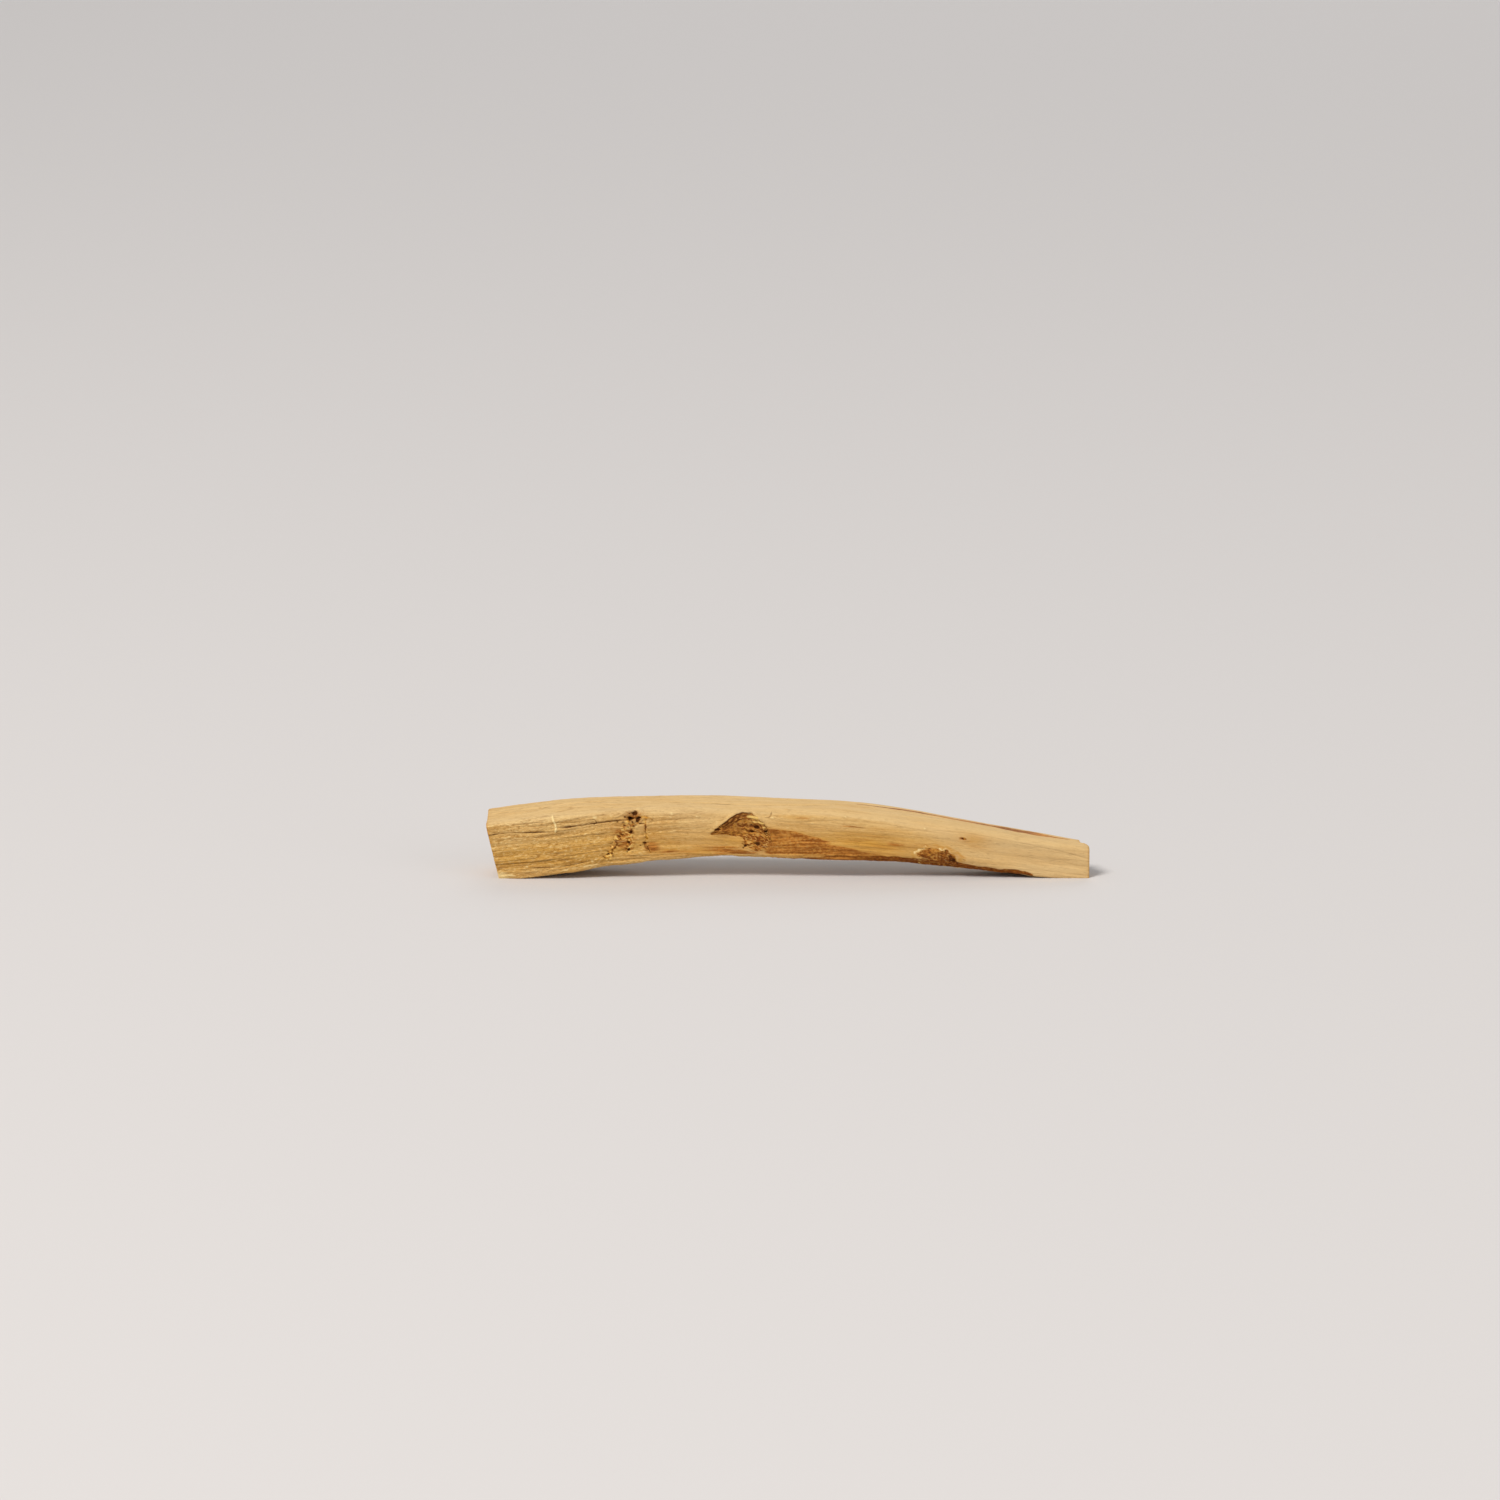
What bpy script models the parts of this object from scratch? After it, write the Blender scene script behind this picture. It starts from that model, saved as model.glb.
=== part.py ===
"""A split stick of palo santo wood, lying on its two ends like a low bridge.

X runs along the stick from the thick butt to the thin tip, Y from the front face to the back, Z up.
The origin is on the surface that the stick rests on, under the middle of its box. Units are metres.
The stick is one piece of wood, so it is one solid. Its skin is a grid of rings, each a polygon with
soft corners, and relief is laid over the rings: waves, split ledges and the scars of side branches.
"""

import math
from dataclasses import dataclass

import bmesh
import bpy
import numpy as np

MM = 0.001

# Driving dimensions
LENGTH = 98.0 * MM
BUTT_LEAN = math.radians(12.6)
BUTT_SKEW = math.radians(2.0)
TIP_STEP = 1.4 * MM
WORN_EDGE = 0.35 * MM
WORN_REACH = 0.004

# Outlines, as (share of the length, millimetres)
UNDERSIDE_AT = (
    (0.0, -0.35),
    (0.11, 0.8),
    (0.2, 2.2),
    (0.38, 3.7),
    (0.56, 3.1),
    (0.7, 2.3),
    (0.8, 1.2),
    (0.9, 0.35),
    (1.0, -0.35),
)
TOP_AT = (
    (0.0, 9.7),
    (0.1, 10.9),
    (0.23, 11.95),
    (0.44, 11.9),
    (0.6, 11.4),
    (0.72, 9.95),
    (0.86, 7.5),
    (1.0, 5.25),
)
DEPTH_AT = ((0.0, 9.8), (0.13, 10.7), (0.3, 9.5), (0.6, 8.9), (0.76, 8.2), (0.9, 6.9), (1.0, 5.9))
SIDEWAYS_AT = ((0.0, 0.0), (0.25, 0.5), (0.5, 0.1), (0.75, -0.7), (1.0, -1.2))

# How crisp the corners are: the power of the soft polygon, along the stick
CRISP_AT = ((0.0, 26.0), (0.3, 18.0), (0.55, 12.0), (1.0, 20.0))
SHOULDER_AT = ((0.0, 22.0), (0.25, 12.0), (0.5, 6.0), (0.75, 7.0), (1.0, 12.0))
SHOULDER_FACING = math.radians(135.0)
SHOULDER_SPREAD = math.radians(32.0)

# Waves of the split skin: their heights, and how fast they turn along the stick and round it
SWELL_HEIGHT = 0.12 * MM
SWELLS_ALONG = 23.0
RIB_HEIGHT = 0.13 * MM
RIBS_ROUND = 13
RIB_TWIST = 4.0
RIB_SWAY = 2.5
RIB_SWAYS_ALONG = 9.0
RIBS_ON_SMOOTH_SIDE = 0.25
ROUGH_FACING = math.radians(-34.0)

# How a scar's hollow and brow are shaped, as shares of its size
HOLLOW_WIDTH = 0.62
BROW_WIDTH = 0.3

# How the line of a torn splinter wanders, and how far along the stick its step fades in and out
LEDGE_WANDER = 0.12
LEDGE_WANDERS_ALONG = 31.0
LEDGE_JITTER = 0.07
LEDGE_JITTERS_ALONG = 73.0
LEDGE_FADE_IN = 0.05
LEDGE_FADE_OUT = 0.02

# The grid of points
RINGS = 82
EDGE_RING = 0.006
RING_POINTS = 46
CAP_RINGS = 4

WOOD_COLOR = (0.60, 0.38, 0.15, 1.0)
WOOD_ROUGHNESS = 0.68
SHARP_FROM = math.radians(35.0)


@dataclass(frozen=True)
class Face:
    """One split face: the way it faces at the butt and at the tip, and how far out it lies."""

    butt_degrees: float
    tip_degrees: float
    distance_at: tuple


@dataclass(frozen=True)
class Knot:
    """The scar of a side branch on the front face. Sizes are in millimetres, height runs from -1 to 1."""

    along: float
    height: float
    half_length: float
    half_height: float
    hollow: float
    brow: float


@dataclass(frozen=True)
class Ledge:
    """A step left where a splinter tore away: the skin beyond a line drops by a depth in millimetres."""

    facing_degrees: float
    line: float
    side: float
    begins: float
    ends: float
    depth: float


FACES = (
    Face(97.5, 95.0, ((0.0, 1.0), (1.0, 1.0))),
    Face(181.0, 178.0, ((0.0, 1.0), (1.0, 1.0))),
    Face(270.0, 270.0, ((0.0, 1.0), (1.0, 1.0))),
    Face(14.0, 6.0, ((0.0, 0.98), (0.5, 0.94), (1.0, 1.0))),
    Face(-32.0, -20.0, ((0.0, 1.04), (0.4, 0.98), (1.0, 1.06))),
    Face(234.0, 238.0, ((0.0, 1.5), (0.6, 1.5), (0.65, 1.2), (0.88, 1.2), (0.915, 1.5), (1.0, 1.5))),
    Face(48.0, 56.0, ((0.0, 1.4), (0.2, 1.3), (0.4, 1.36), (0.85, 1.38), (1.0, 1.3))),
)
KNOTS = (
    Knot(0.242, 0.68, 1.0, 0.9, 0.35, 0.10),
    Knot(0.432, -0.12, 4.6, 2.7, 0.50, 0.45),
    Knot(0.757, -0.55, 3.2, 1.3, 0.35, 0.22),
)
LEDGES = (
    Ledge(0.0, 0.15, 1.0, 0.16, 0.63, 0.55),
    Ledge(0.0, -0.35, -1.0, 0.48, 0.92, 0.5),
    Ledge(270.0, 0.25, 1.0, 0.22, 0.7, 0.5),
)


def clear_scene():
    """Removes every object, so that only the stick is left."""
    for found in list(bpy.data.objects):
        bpy.data.objects.remove(found, do_unlink=True)


def through(stations, at):
    """A smooth curve through (place, value) stations, joined by cubic pieces with matching slopes."""
    place, value = np.array(stations).T
    slope = np.gradient(value, place)
    i = np.clip(np.searchsorted(place, at) - 1, 0, len(place) - 2)
    width = place[i + 1] - place[i]
    t = (at - place[i]) / width
    rise = (3 - 2 * t) * t**2
    return (
        (1 - rise) * value[i]
        + rise * value[i + 1]
        + (t**3 - 2 * t**2 + t) * width * slope[i]
        + (t**3 - t**2) * width * slope[i + 1]
    )


def step(low, high, at):
    """0 below low, 1 above high, and a smooth rise between them."""
    t = np.clip((at - low) / (high - low), 0.0, 1.0)
    return t * t * (3 - 2 * t)


def bell(at):
    """1 at zero, falling smoothly to nothing by about 2."""
    return np.exp(-(at**2))


def reach(along, angle):
    """Distance from the ring's middle to its outline, where 1 is half the stick's height or depth.

    Each face cuts the ring at cos(angle from the face) / distance, and a power sum softens the corners.
    """
    shoulder = bell((angle - SHOULDER_FACING) / SHOULDER_SPREAD)
    power = through(CRISP_AT, along) * (1 - shoulder) + through(SHOULDER_AT, along) * shoulder
    total = 0.0
    for face in FACES:
        facing = np.radians(face.butt_degrees + (face.tip_degrees - face.butt_degrees) * along)
        cut = np.cos(angle - facing) / through(face.distance_at, along)
        total = total + np.maximum(cut, 1e-6) ** power
    return total ** (-1 / power)


def side_of(angle, facing):
    """1 on the quarter of the ring that looks towards facing, fading to 0 past its corners."""
    return step(0.55, 0.8, np.cos(angle - facing))


def waves(along, angle):
    """Long swells of a split surface and the broad ribs of its grain, in metres."""
    swell = np.sin(SWELLS_ALONG * along + 2 * np.sin(angle)) * np.cos(2 * angle + 3 * along)
    sway = RIB_SWAY * np.sin(RIB_SWAYS_ALONG * along)
    ribs = np.sin(RIBS_ROUND * angle + sway + RIB_TWIST * along)
    facing_rough = step(-0.2, 0.5, np.cos(angle - ROUGH_FACING))
    rough = RIBS_ON_SMOOTH_SIDE + (1 - RIBS_ON_SMOOTH_SIDE) * facing_rough
    return SWELL_HEIGHT * swell + RIB_HEIGHT * rough * ribs


def knot_relief(along, angle, up):
    """The hollow of each scar with a raised brow over it, in metres. up is the height from -1 to 1."""
    total = np.zeros_like(along)
    front = side_of(angle, math.pi)
    half = (through(TOP_AT, along) - through(UNDERSIDE_AT, along)) / 2
    for knot in KNOTS:
        from_middle = (along - knot.along) * LENGTH / (knot.half_length * MM)
        over = (up - knot.height) * half / knot.half_height
        away = np.hypot(from_middle, over)
        hollow = bell(away / HOLLOW_WIDTH)
        brow = bell((away - 1.0) / BROW_WIDTH) * step(-0.4, 0.5, over)
        total += front * (knot.brow * brow - knot.hollow * hollow) * MM
    return total


def ledge_relief(along, angle, up, back):
    """The drop beyond each splinter's line, in metres. up and back run from -1 to 1."""
    total = np.zeros_like(along)
    wander = LEDGE_WANDER * np.sin(LEDGE_WANDERS_ALONG * along)
    wander += LEDGE_JITTER * np.sin(LEDGE_JITTERS_ALONG * along)
    for ledge in LEDGES:
        facing = math.radians(ledge.facing_degrees)
        across = up if ledge.facing_degrees == 0 else back
        beyond = step(-0.06, 0.1, ledge.side * (across - ledge.line - wander))
        stretch = step(ledge.begins, ledge.begins + LEDGE_FADE_IN, along)
        stretch *= 1 - step(ledge.ends - LEDGE_FADE_OUT, ledge.ends, along)
        total -= side_of(angle, facing) * beyond * stretch * ledge.depth * MM
    return total


def skin(along, angle):
    """Places on the stick's skin, as arrays of x, y and z, with z above the surface it rests on."""
    top = through(TOP_AT, along) * MM
    underside = through(UNDERSIDE_AT, along) * MM
    half_height = (top - underside) / 2
    half_depth = through(DEPTH_AT, along) * MM / 2
    out = reach(along, angle)
    back = out * np.cos(angle)
    up = out * np.sin(angle)
    worn = WORN_EDGE * (bell(along / WORN_REACH) + bell((1 - along) / WORN_REACH))
    relief = waves(along, angle) + knot_relief(along, angle, up) - worn
    relief += ledge_relief(along, angle, up, back)
    y = half_depth * back + relief * np.cos(angle) + through(SIDEWAYS_AT, along) * MM
    z = (top + underside) / 2 + half_height * up + relief * np.sin(angle)
    behind = y + half_depth
    butt = math.tan(BUTT_SKEW) * behind - math.tan(BUTT_LEAN) * z
    tip = LENGTH - TIP_STEP * step(0.1, 0.5, behind / (2 * half_depth))
    return butt + along * (tip - butt), y, np.maximum(z, 0.0)


def even_angles(count):
    """Angles that stand at even steps round the outline of the middle ring."""
    fine = np.linspace(0, 2 * math.pi, 721)
    middle = np.full_like(fine, 0.5)
    out = reach(middle, fine)
    steps = np.hypot(np.diff(out * np.cos(fine)), np.diff(out * np.sin(fine)))
    walked = np.concatenate([[0.0], np.cumsum(steps)])
    return np.interp(np.arange(count) / count * walked[-1], walked, fine)


def ring_places():
    """Shares of the length at which the rings stand, with one more by each end for the worn edge."""
    even = np.linspace(0, 1, RINGS)
    return np.concatenate([[0.0, EDGE_RING], even[1:-1], [1 - EDGE_RING, 1.0]])


def make_mesh():
    """The closed mesh: rings joined by faces, each end closed by smaller rings and a middle point."""
    angles = even_angles(RING_POINTS)
    along, angle = np.meshgrid(ring_places(), angles, indexing="ij")
    places = np.stack(skin(along, angle), axis=-1)
    corners = places.reshape(-1, 3)
    middle = (corners.min(axis=0) + corners.max(axis=0)) / 2
    places -= (middle[0], middle[1], 0.0)

    mesh = bmesh.new()
    rings = [[mesh.verts.new(place) for place in ring] for ring in places]
    for end in (0, -1):
        rim = places[end]
        centre = rim.mean(axis=0)
        inner = [rings[end]]
        for share in np.linspace(1, 0, CAP_RINGS + 1)[1:-1]:
            inner.append([mesh.verts.new(centre + share * (place - centre)) for place in rim])
        for outer_ring, inner_ring in zip(inner, inner[1:]):
            join_rings(mesh, outer_ring, inner_ring)
        pole = mesh.verts.new(centre)
        last = inner[-1]
        for i in range(RING_POINTS):
            mesh.faces.new((last[i], last[(i + 1) % RING_POINTS], pole))
    for near, far in zip(rings, rings[1:]):
        join_rings(mesh, near, far)
    bmesh.ops.recalc_face_normals(mesh, faces=mesh.faces)
    bmesh.ops.triangulate(mesh, faces=mesh.faces)
    return mesh


def join_rings(mesh, first, second):
    """Closes the band between two rings of points."""
    count = len(first)
    for i in range(count):
        after = (i + 1) % count
        mesh.faces.new((first[i], first[after], second[after], second[i]))


def wood_material():
    """Plain matt wood in the stick's mean colour."""
    material = bpy.data.materials.new("palo_santo_wood")
    material.use_nodes = True
    shader = material.node_tree.nodes["Principled BSDF"]
    shader.inputs["Base Color"].default_value = WOOD_COLOR
    shader.inputs["Roughness"].default_value = WOOD_ROUGHNESS
    shader.inputs["Metallic"].default_value = 0.0
    return material


def make_stick():
    """Makes the stick and puts it in the scene."""
    mesh = make_mesh()
    data = bpy.data.meshes.new("stick")
    mesh.to_mesh(data)
    mesh.free()
    data.materials.append(wood_material())
    data.shade_smooth()
    data.set_sharp_from_angle(angle=SHARP_FROM)
    stick = bpy.data.objects.new("stick", data)
    bpy.context.scene.collection.objects.link(stick)
    return stick


clear_scene()
make_stick()
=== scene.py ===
"""Looks of a split palo santo stick: its fibrous skin, branch scars, resin and sawn ends.

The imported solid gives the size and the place. The skin is worked out again here on a fine grid, from the
same outlines, and relief is laid over it: swells, terraces of torn grain, ribs, checks, scars and pits.
X runs along the stick from the thick butt to the thin tip, Y from the front face to the back, and Z up.
The shape is worked out in millimetres and put into the mesh in metres.
"""

import itertools
import logging
import math
from dataclasses import dataclass, field
from enum import Enum

import bpy
import numpy as np
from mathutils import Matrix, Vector

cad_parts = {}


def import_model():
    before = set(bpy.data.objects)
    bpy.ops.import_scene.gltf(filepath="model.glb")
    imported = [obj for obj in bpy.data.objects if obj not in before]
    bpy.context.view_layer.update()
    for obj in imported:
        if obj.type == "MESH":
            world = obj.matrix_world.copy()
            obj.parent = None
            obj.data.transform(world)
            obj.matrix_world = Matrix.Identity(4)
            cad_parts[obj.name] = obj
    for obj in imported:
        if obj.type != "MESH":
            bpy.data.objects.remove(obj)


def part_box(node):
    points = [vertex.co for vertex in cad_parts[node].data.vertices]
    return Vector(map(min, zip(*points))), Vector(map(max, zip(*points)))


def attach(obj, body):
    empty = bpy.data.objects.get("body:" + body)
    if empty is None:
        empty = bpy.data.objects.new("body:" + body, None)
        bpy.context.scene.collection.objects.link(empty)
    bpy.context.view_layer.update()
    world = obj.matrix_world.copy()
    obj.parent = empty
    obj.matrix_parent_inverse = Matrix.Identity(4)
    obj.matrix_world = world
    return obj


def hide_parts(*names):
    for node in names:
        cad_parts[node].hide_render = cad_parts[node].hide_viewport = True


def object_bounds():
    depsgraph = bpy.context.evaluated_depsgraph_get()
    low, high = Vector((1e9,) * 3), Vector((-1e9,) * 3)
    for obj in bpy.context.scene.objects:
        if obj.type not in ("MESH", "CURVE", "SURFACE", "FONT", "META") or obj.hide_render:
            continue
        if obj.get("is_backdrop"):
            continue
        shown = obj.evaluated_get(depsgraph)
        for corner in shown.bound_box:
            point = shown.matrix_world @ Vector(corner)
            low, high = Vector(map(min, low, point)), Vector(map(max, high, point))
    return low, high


log = logging.getLogger("palo_santo_stick")

MM = 0.001
CAD_NODE = "stick"
BODY = "root"
# A thin line's field levels off at this many line widths from the line.
LINE_REACH = 4.0

# Depth and height of the heart of the trunk, in millimetres from the middle of the stick's rings.
HEART = (24.0, -16.0)

Array = np.ndarray
Object = bpy.types.Object
Socket = bpy.types.NodeSocket
Mesh = bpy.types.Mesh
Pair = tuple[float, float]
Stations = tuple[Pair, ...]
Color = tuple[float, float, float]


class Mark(Enum):
    """What a place on the skin is marked with. Each value is the name of a point attribute from 0 to 1."""

    # Near-black: painted shade in the pits and beside the nick, and the small scar's own dark flecks.
    BLACK_AND_PAINTED_SHADE = "black_and_painted_shade"
    DEEP = "deep"
    SPECK = "speck"
    SCAR = "scar"
    RESIN = "resin"
    GOLD = "gold"
    # Pale wood, and painted highlights on the long edges, the lower front edge and the nick.
    PALE = "pale"
    # Paler wood, partly painted light, towards the tip, and painted light that makes the top faces and upper
    # front paler.
    STRAW = "straw"
    TORN = "torn"
    GRIT = "grit"
    SAWN = "sawn"


class Line(Enum):
    """Thin dark lines. A value begins the names of two point attributes.

    The one that ends in _crossing goes through 0 on the lines. The one that ends in _shade says how dark
    they are.
    """

    CHECK = "check"
    LEDGE = "ledge"
    RIM = "rim"


class Side(Enum):
    """The four split faces, each with the angle round the stick that it looks along, in degrees."""

    BACK = 0.0
    TOP = 90.0
    FRONT = 180.0
    UNDER = 270.0


def through(stations: Stations, at: Array) -> Array:
    """A smooth curve through stations: cubic pieces, each with the mean slope of its neighbours at its ends.

    Args:
        stations: (place, value) pairs in rising order of place.
        at: the places to read the curve at.

    Returns:
        The curve's value at each place.
    """
    place, value = np.array(stations).T
    slope = np.gradient(value, place)
    i = np.clip(np.searchsorted(place, at) - 1, 0, len(place) - 2)
    width = place[i + 1] - place[i]
    t = (at - place[i]) / width
    rise = (3 - 2 * t) * t**2
    return (
        (1 - rise) * value[i]
        + rise * value[i + 1]
        + (t**3 - 2 * t**2 + t) * width * slope[i]
        + (t**3 - t**2) * width * slope[i + 1]
    )


def step(low: float, high: float, at: Array) -> Array:
    """0 at low, 1 at high, 3t^2 - 2t^3 between them, and level beyond. It falls where high is the smaller."""
    t = np.clip((at - low) / (high - low), 0.0, 1.0)
    return t * t * (3 - 2 * t)


def bell(at: Array) -> Array:
    """1 at zero, falling as e^-x^2 to nothing by about 2."""
    return np.exp(-(at**2))


def plateau(rise: Pair, fall: Pair, at: Array) -> Array:
    """0, rising to 1 from the first to the second value of rise, and falling back to 0 over fall."""
    return step(*rise, at) * (1 - step(*fall, at))


def within(start: float, end: float, fade: float, at: Array) -> Array:
    """1 between start and end, fading to 0 over a length inside each of them."""
    return plateau((start, start + fade), (end - fade, end), at)


class GrainNoise:
    """Seeded smooth noise from 0 to 1 on a lattice of random values, which repeats after SIZE cells.

    A value is the mean of the eight lattice values round a point, each weighted in every direction by
    6t^5 - 15t^4 + 10t^3, where t is how near the point is to it.
    """

    SIZE = 48

    def __init__(self, seed: int) -> None:
        """Fills the lattice from the seed."""
        self.values = np.random.default_rng(seed).random((self.SIZE,) * 3)

    def at(self, points: Array) -> Array:
        """The noise at points.

        Args:
            points: an array whose last axis holds three coordinates in cells.

        Returns:
            A value from 0 to 1 for each point.
        """
        cell = np.floor(points).astype(int)
        t = points - cell
        near = t**3 * (t * (6 * t - 15) + 10)
        total = np.zeros(points.shape[:-1])
        for corner in itertools.product((0, 1), repeat=3):
            index = (cell + corner) % self.SIZE
            weight = np.prod(np.where(corner, near, 1 - near), axis=-1)
            total += weight * self.values[index[..., 0], index[..., 1], index[..., 2]]
        return total

    def layered(self, points: Array, layers: int) -> Array:
        """The mean of several layers of noise, each about twice as fine and half as strong as the last.

        Args:
            points: an array whose last axis holds three coordinates in cells of the first layer.
            layers: how many layers.

        Returns:
            A value from 0 to 1 for each point.
        """
        total = np.zeros(points.shape[:-1])
        for layer in range(layers):
            total += self.at(points * 2.03**layer + 7.3 * layer) * 0.5**layer
        return total / (2 - 0.5 ** (layers - 1))


@dataclass(frozen=True)
class SplitFace:
    """One split face: the angle it faces at the butt and at the tip, and its distance along the stick."""

    butt_degrees: float
    tip_degrees: float
    distance_at: Stations


@dataclass(frozen=True)
class Swelling:
    """A scar's broad hollow and brow, which the solid has too: sizes in millimetres, height from -1 to 1."""

    along: float
    height: float
    half_length: float
    half_height: float
    hollow: float
    brow: float


@dataclass(frozen=True)
class Ledge:
    """A step left where a splinter tore away, which the solid has too: the skin beyond a line drops."""

    facing: Side
    line: float
    side: float
    begins: float
    ends: float
    depth: float


@dataclass
class StickForm:
    """The stick's broad shape, as in the solid but for a crisper lower edge near the tip.

    Lengths are in millimetres, places along the stick from 0 to 1.
    """

    length: float = 98.0
    butt_lean: float = math.radians(12.6)
    butt_skew: float = math.radians(2.0)
    tip_step: float = 1.4
    underside_at: Stations = (
        (0.0, -0.35), (0.11, 0.8), (0.2, 2.2), (0.38, 3.7), (0.56, 3.1), (0.7, 2.3), (0.8, 1.2),
        (0.9, 0.35), (1.0, -0.35),
    )
    top_at: Stations = (
        (0.0, 9.7), (0.1, 10.9), (0.23, 11.95), (0.44, 11.9), (0.6, 11.4), (0.72, 9.95), (0.86, 7.5),
        (1.0, 5.25),
    )
    depth_at: Stations = (
        (0.0, 9.8), (0.13, 10.7), (0.3, 9.5), (0.6, 8.9), (0.76, 8.2), (0.9, 6.9), (1.0, 5.9),
    )
    sideways_at: Stations = ((0.0, 0.0), (0.25, 0.5), (0.5, 0.1), (0.75, -0.7), (1.0, -1.2))
    crisp_at: Stations = ((0.0, 26.0), (0.3, 18.0), (0.55, 12.0), (1.0, 20.0))
    shoulder_at: Stations = ((0.0, 22.0), (0.25, 12.0), (0.5, 6.0), (0.75, 7.0), (1.0, 12.0))
    shoulder_facing: float = math.radians(135.0)
    shoulder_spread: float = math.radians(32.0)
    faces: tuple[SplitFace, ...] = (
        SplitFace(97.5, 95.0, ((0.0, 1.0), (1.0, 1.0))),
        SplitFace(181.0, 178.0, ((0.0, 1.0), (1.0, 1.0))),
        SplitFace(270.0, 270.0, ((0.0, 1.0), (1.0, 1.0))),
        SplitFace(14.0, 6.0, ((0.0, 0.98), (0.5, 0.94), (1.0, 1.0))),
        SplitFace(-32.0, -20.0, ((0.0, 1.04), (0.4, 0.98), (1.0, 1.06))),
        SplitFace(
            234.0, 238.0, ((0.0, 1.5), (0.6, 1.5), (0.65, 1.32), (0.88, 1.32), (0.915, 1.5), (1.0, 1.5)),
        ),
        SplitFace(48.0, 56.0, ((0.0, 1.4), (0.2, 1.3), (0.4, 1.36), (0.85, 1.38), (1.0, 1.3))),
    )
    swellings: tuple[Swelling, ...] = (
        Swelling(0.242, 0.68, 1.0, 0.9, 0.35, 0.10),
        Swelling(0.432, -0.12, 4.6, 2.7, 0.50, 0.45),
        Swelling(0.757, -0.55, 3.2, 1.3, 0.22, 0.16),
    )
    ledges: tuple[Ledge, ...] = (
        Ledge(Side.BACK, 0.15, 1.0, 0.16, 0.63, 0.55),
        Ledge(Side.BACK, -0.35, -1.0, 0.48, 0.92, 0.5),
        Ledge(Side.UNDER, 0.25, 1.0, 0.22, 0.7, 0.5),
    )
    swell_height: float = 0.12
    rib_height: float = 0.13
    smoothest: float = 0.25

    def reach(self, along: Array, angle: Array) -> Array:
        """Distance from a ring's middle to its outline, where 1 is half the stick's height or depth.

        Each face cuts the ring at cos(angle from the face) / distance, and a power sum of the cuts, to the
        power of -1 / power, softens the corners.

        Args:
            along: share of the length.
            angle: angle round the stick, in radians from the back.

        Returns:
            The distance, with the arrays' shape.
        """
        shoulder = bell((angle - self.shoulder_facing) / self.shoulder_spread)
        power = through(self.crisp_at, along) * (1 - shoulder)
        power += through(self.shoulder_at, along) * shoulder
        total = np.zeros_like(along)
        for face in self.faces:
            facing = np.radians(face.butt_degrees + (face.tip_degrees - face.butt_degrees) * along)
            cut = np.cos(angle - facing) / through(face.distance_at, along)
            total += np.maximum(cut, 1e-6) ** power
        return total ** (-1 / power)

    def half_height(self, along: Array) -> Array:
        """Half the stick's height at each place along it."""
        return (through(self.top_at, along) - through(self.underside_at, along)) / 2

    def middle_height(self, along: Array) -> Array:
        """Height of the ring's middle above the surface the stick rests on."""
        return (through(self.top_at, along) + through(self.underside_at, along)) / 2

    def half_depth(self, along: Array) -> Array:
        """Half the stick's depth from front to back."""
        return through(self.depth_at, along) / 2

    def broad_relief(self, along: Array, angle: Array, up: Array, back: Array) -> Array:
        """Swells, ribs, the scars' hollows and brows and the ledges, as the solid has them.

        Args:
            along: share of the length.
            angle: angle round the stick, in radians.
            up: height on the ring, from -1 to 1.
            back: place on the ring from the front, -1, to the back, 1.

        Returns:
            How far the skin lies outside the plain ring, in millimetres.
        """
        swell = np.sin(23 * along + 2.0 * np.sin(angle)) * np.cos(2 * angle + 3 * along)
        ribs = np.sin(13 * angle + 2.5 * np.sin(9 * along) + 4 * along)
        rough = self.smoothest + (1 - self.smoothest) * step(-0.2, 0.5, np.cos(angle + 0.6))
        total = self.swell_height * swell + self.rib_height * rough * ribs
        for scar in self.swellings:
            from_middle = (along - scar.along) * self.length / scar.half_length
            over = (up - scar.height) * self.half_height(along) / scar.half_height
            away = np.hypot(from_middle, over)
            brow = bell((away - 1.0) / 0.3) * step(-0.4, 0.5, over)
            shape = scar.brow * brow - scar.hollow * bell(away / 0.62)
            total += side_weight(angle, Side.FRONT) * shape
        wander = 0.12 * np.sin(31 * along) + 0.07 * np.sin(73 * along)
        for ledge in self.ledges:
            across = up if ledge.facing is Side.BACK else back
            beyond = step(-0.06, 0.1, ledge.side * (across - ledge.line - wander))
            begins, ends = ledge.begins, ledge.ends
            stretch = plateau((begins, begins + 0.05), (ends - 0.02, ends), along)
            total -= side_weight(angle, ledge.facing) * beyond * stretch * ledge.depth
        return total


def lower_edge(angle: Array) -> Array:
    """1 on the edge between the front and the underside, falling to 0 by about 25 degrees from it."""
    return bell((angle - math.radians(234)) / 0.24)


def write_vectors(mesh: Mesh, name: str, vectors: Array) -> None:
    """Writes a vector for each of the mesh's points, under a name."""
    attribute = mesh.attributes.new(name, "FLOAT_VECTOR", "POINT")
    attribute.data.foreach_set("vector", vectors.astype(np.float32).reshape(-1))


def write_numbers(mesh: Mesh, name: str, parts: list[Array]) -> None:
    """Writes a number for each of the mesh's points, under a name, from arrays that follow each other."""
    attribute = mesh.attributes.new(name, "FLOAT", "POINT")
    attribute.data.foreach_set("value", np.concatenate(parts).astype(np.float32))


def add_object(name: str, mesh: Mesh, finish: bpy.types.Material) -> Object:
    """Puts a mesh with a finish into the scene, at the origin.

    Args:
        name: the object's name.
        mesh: its mesh.
        finish: the material of all its faces.

    Returns:
        The object.
    """
    mesh.materials.append(finish)
    piece = bpy.data.objects.new(name, mesh)
    bpy.context.scene.collection.objects.link(piece)
    return piece


def side_weight(angle: Array, side: Side) -> Array:
    """1 on the quarter of the ring that a side takes up, fading to 0 past its corners."""
    return step(0.55, 0.8, np.cos(angle - math.radians(side.value)))


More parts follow.
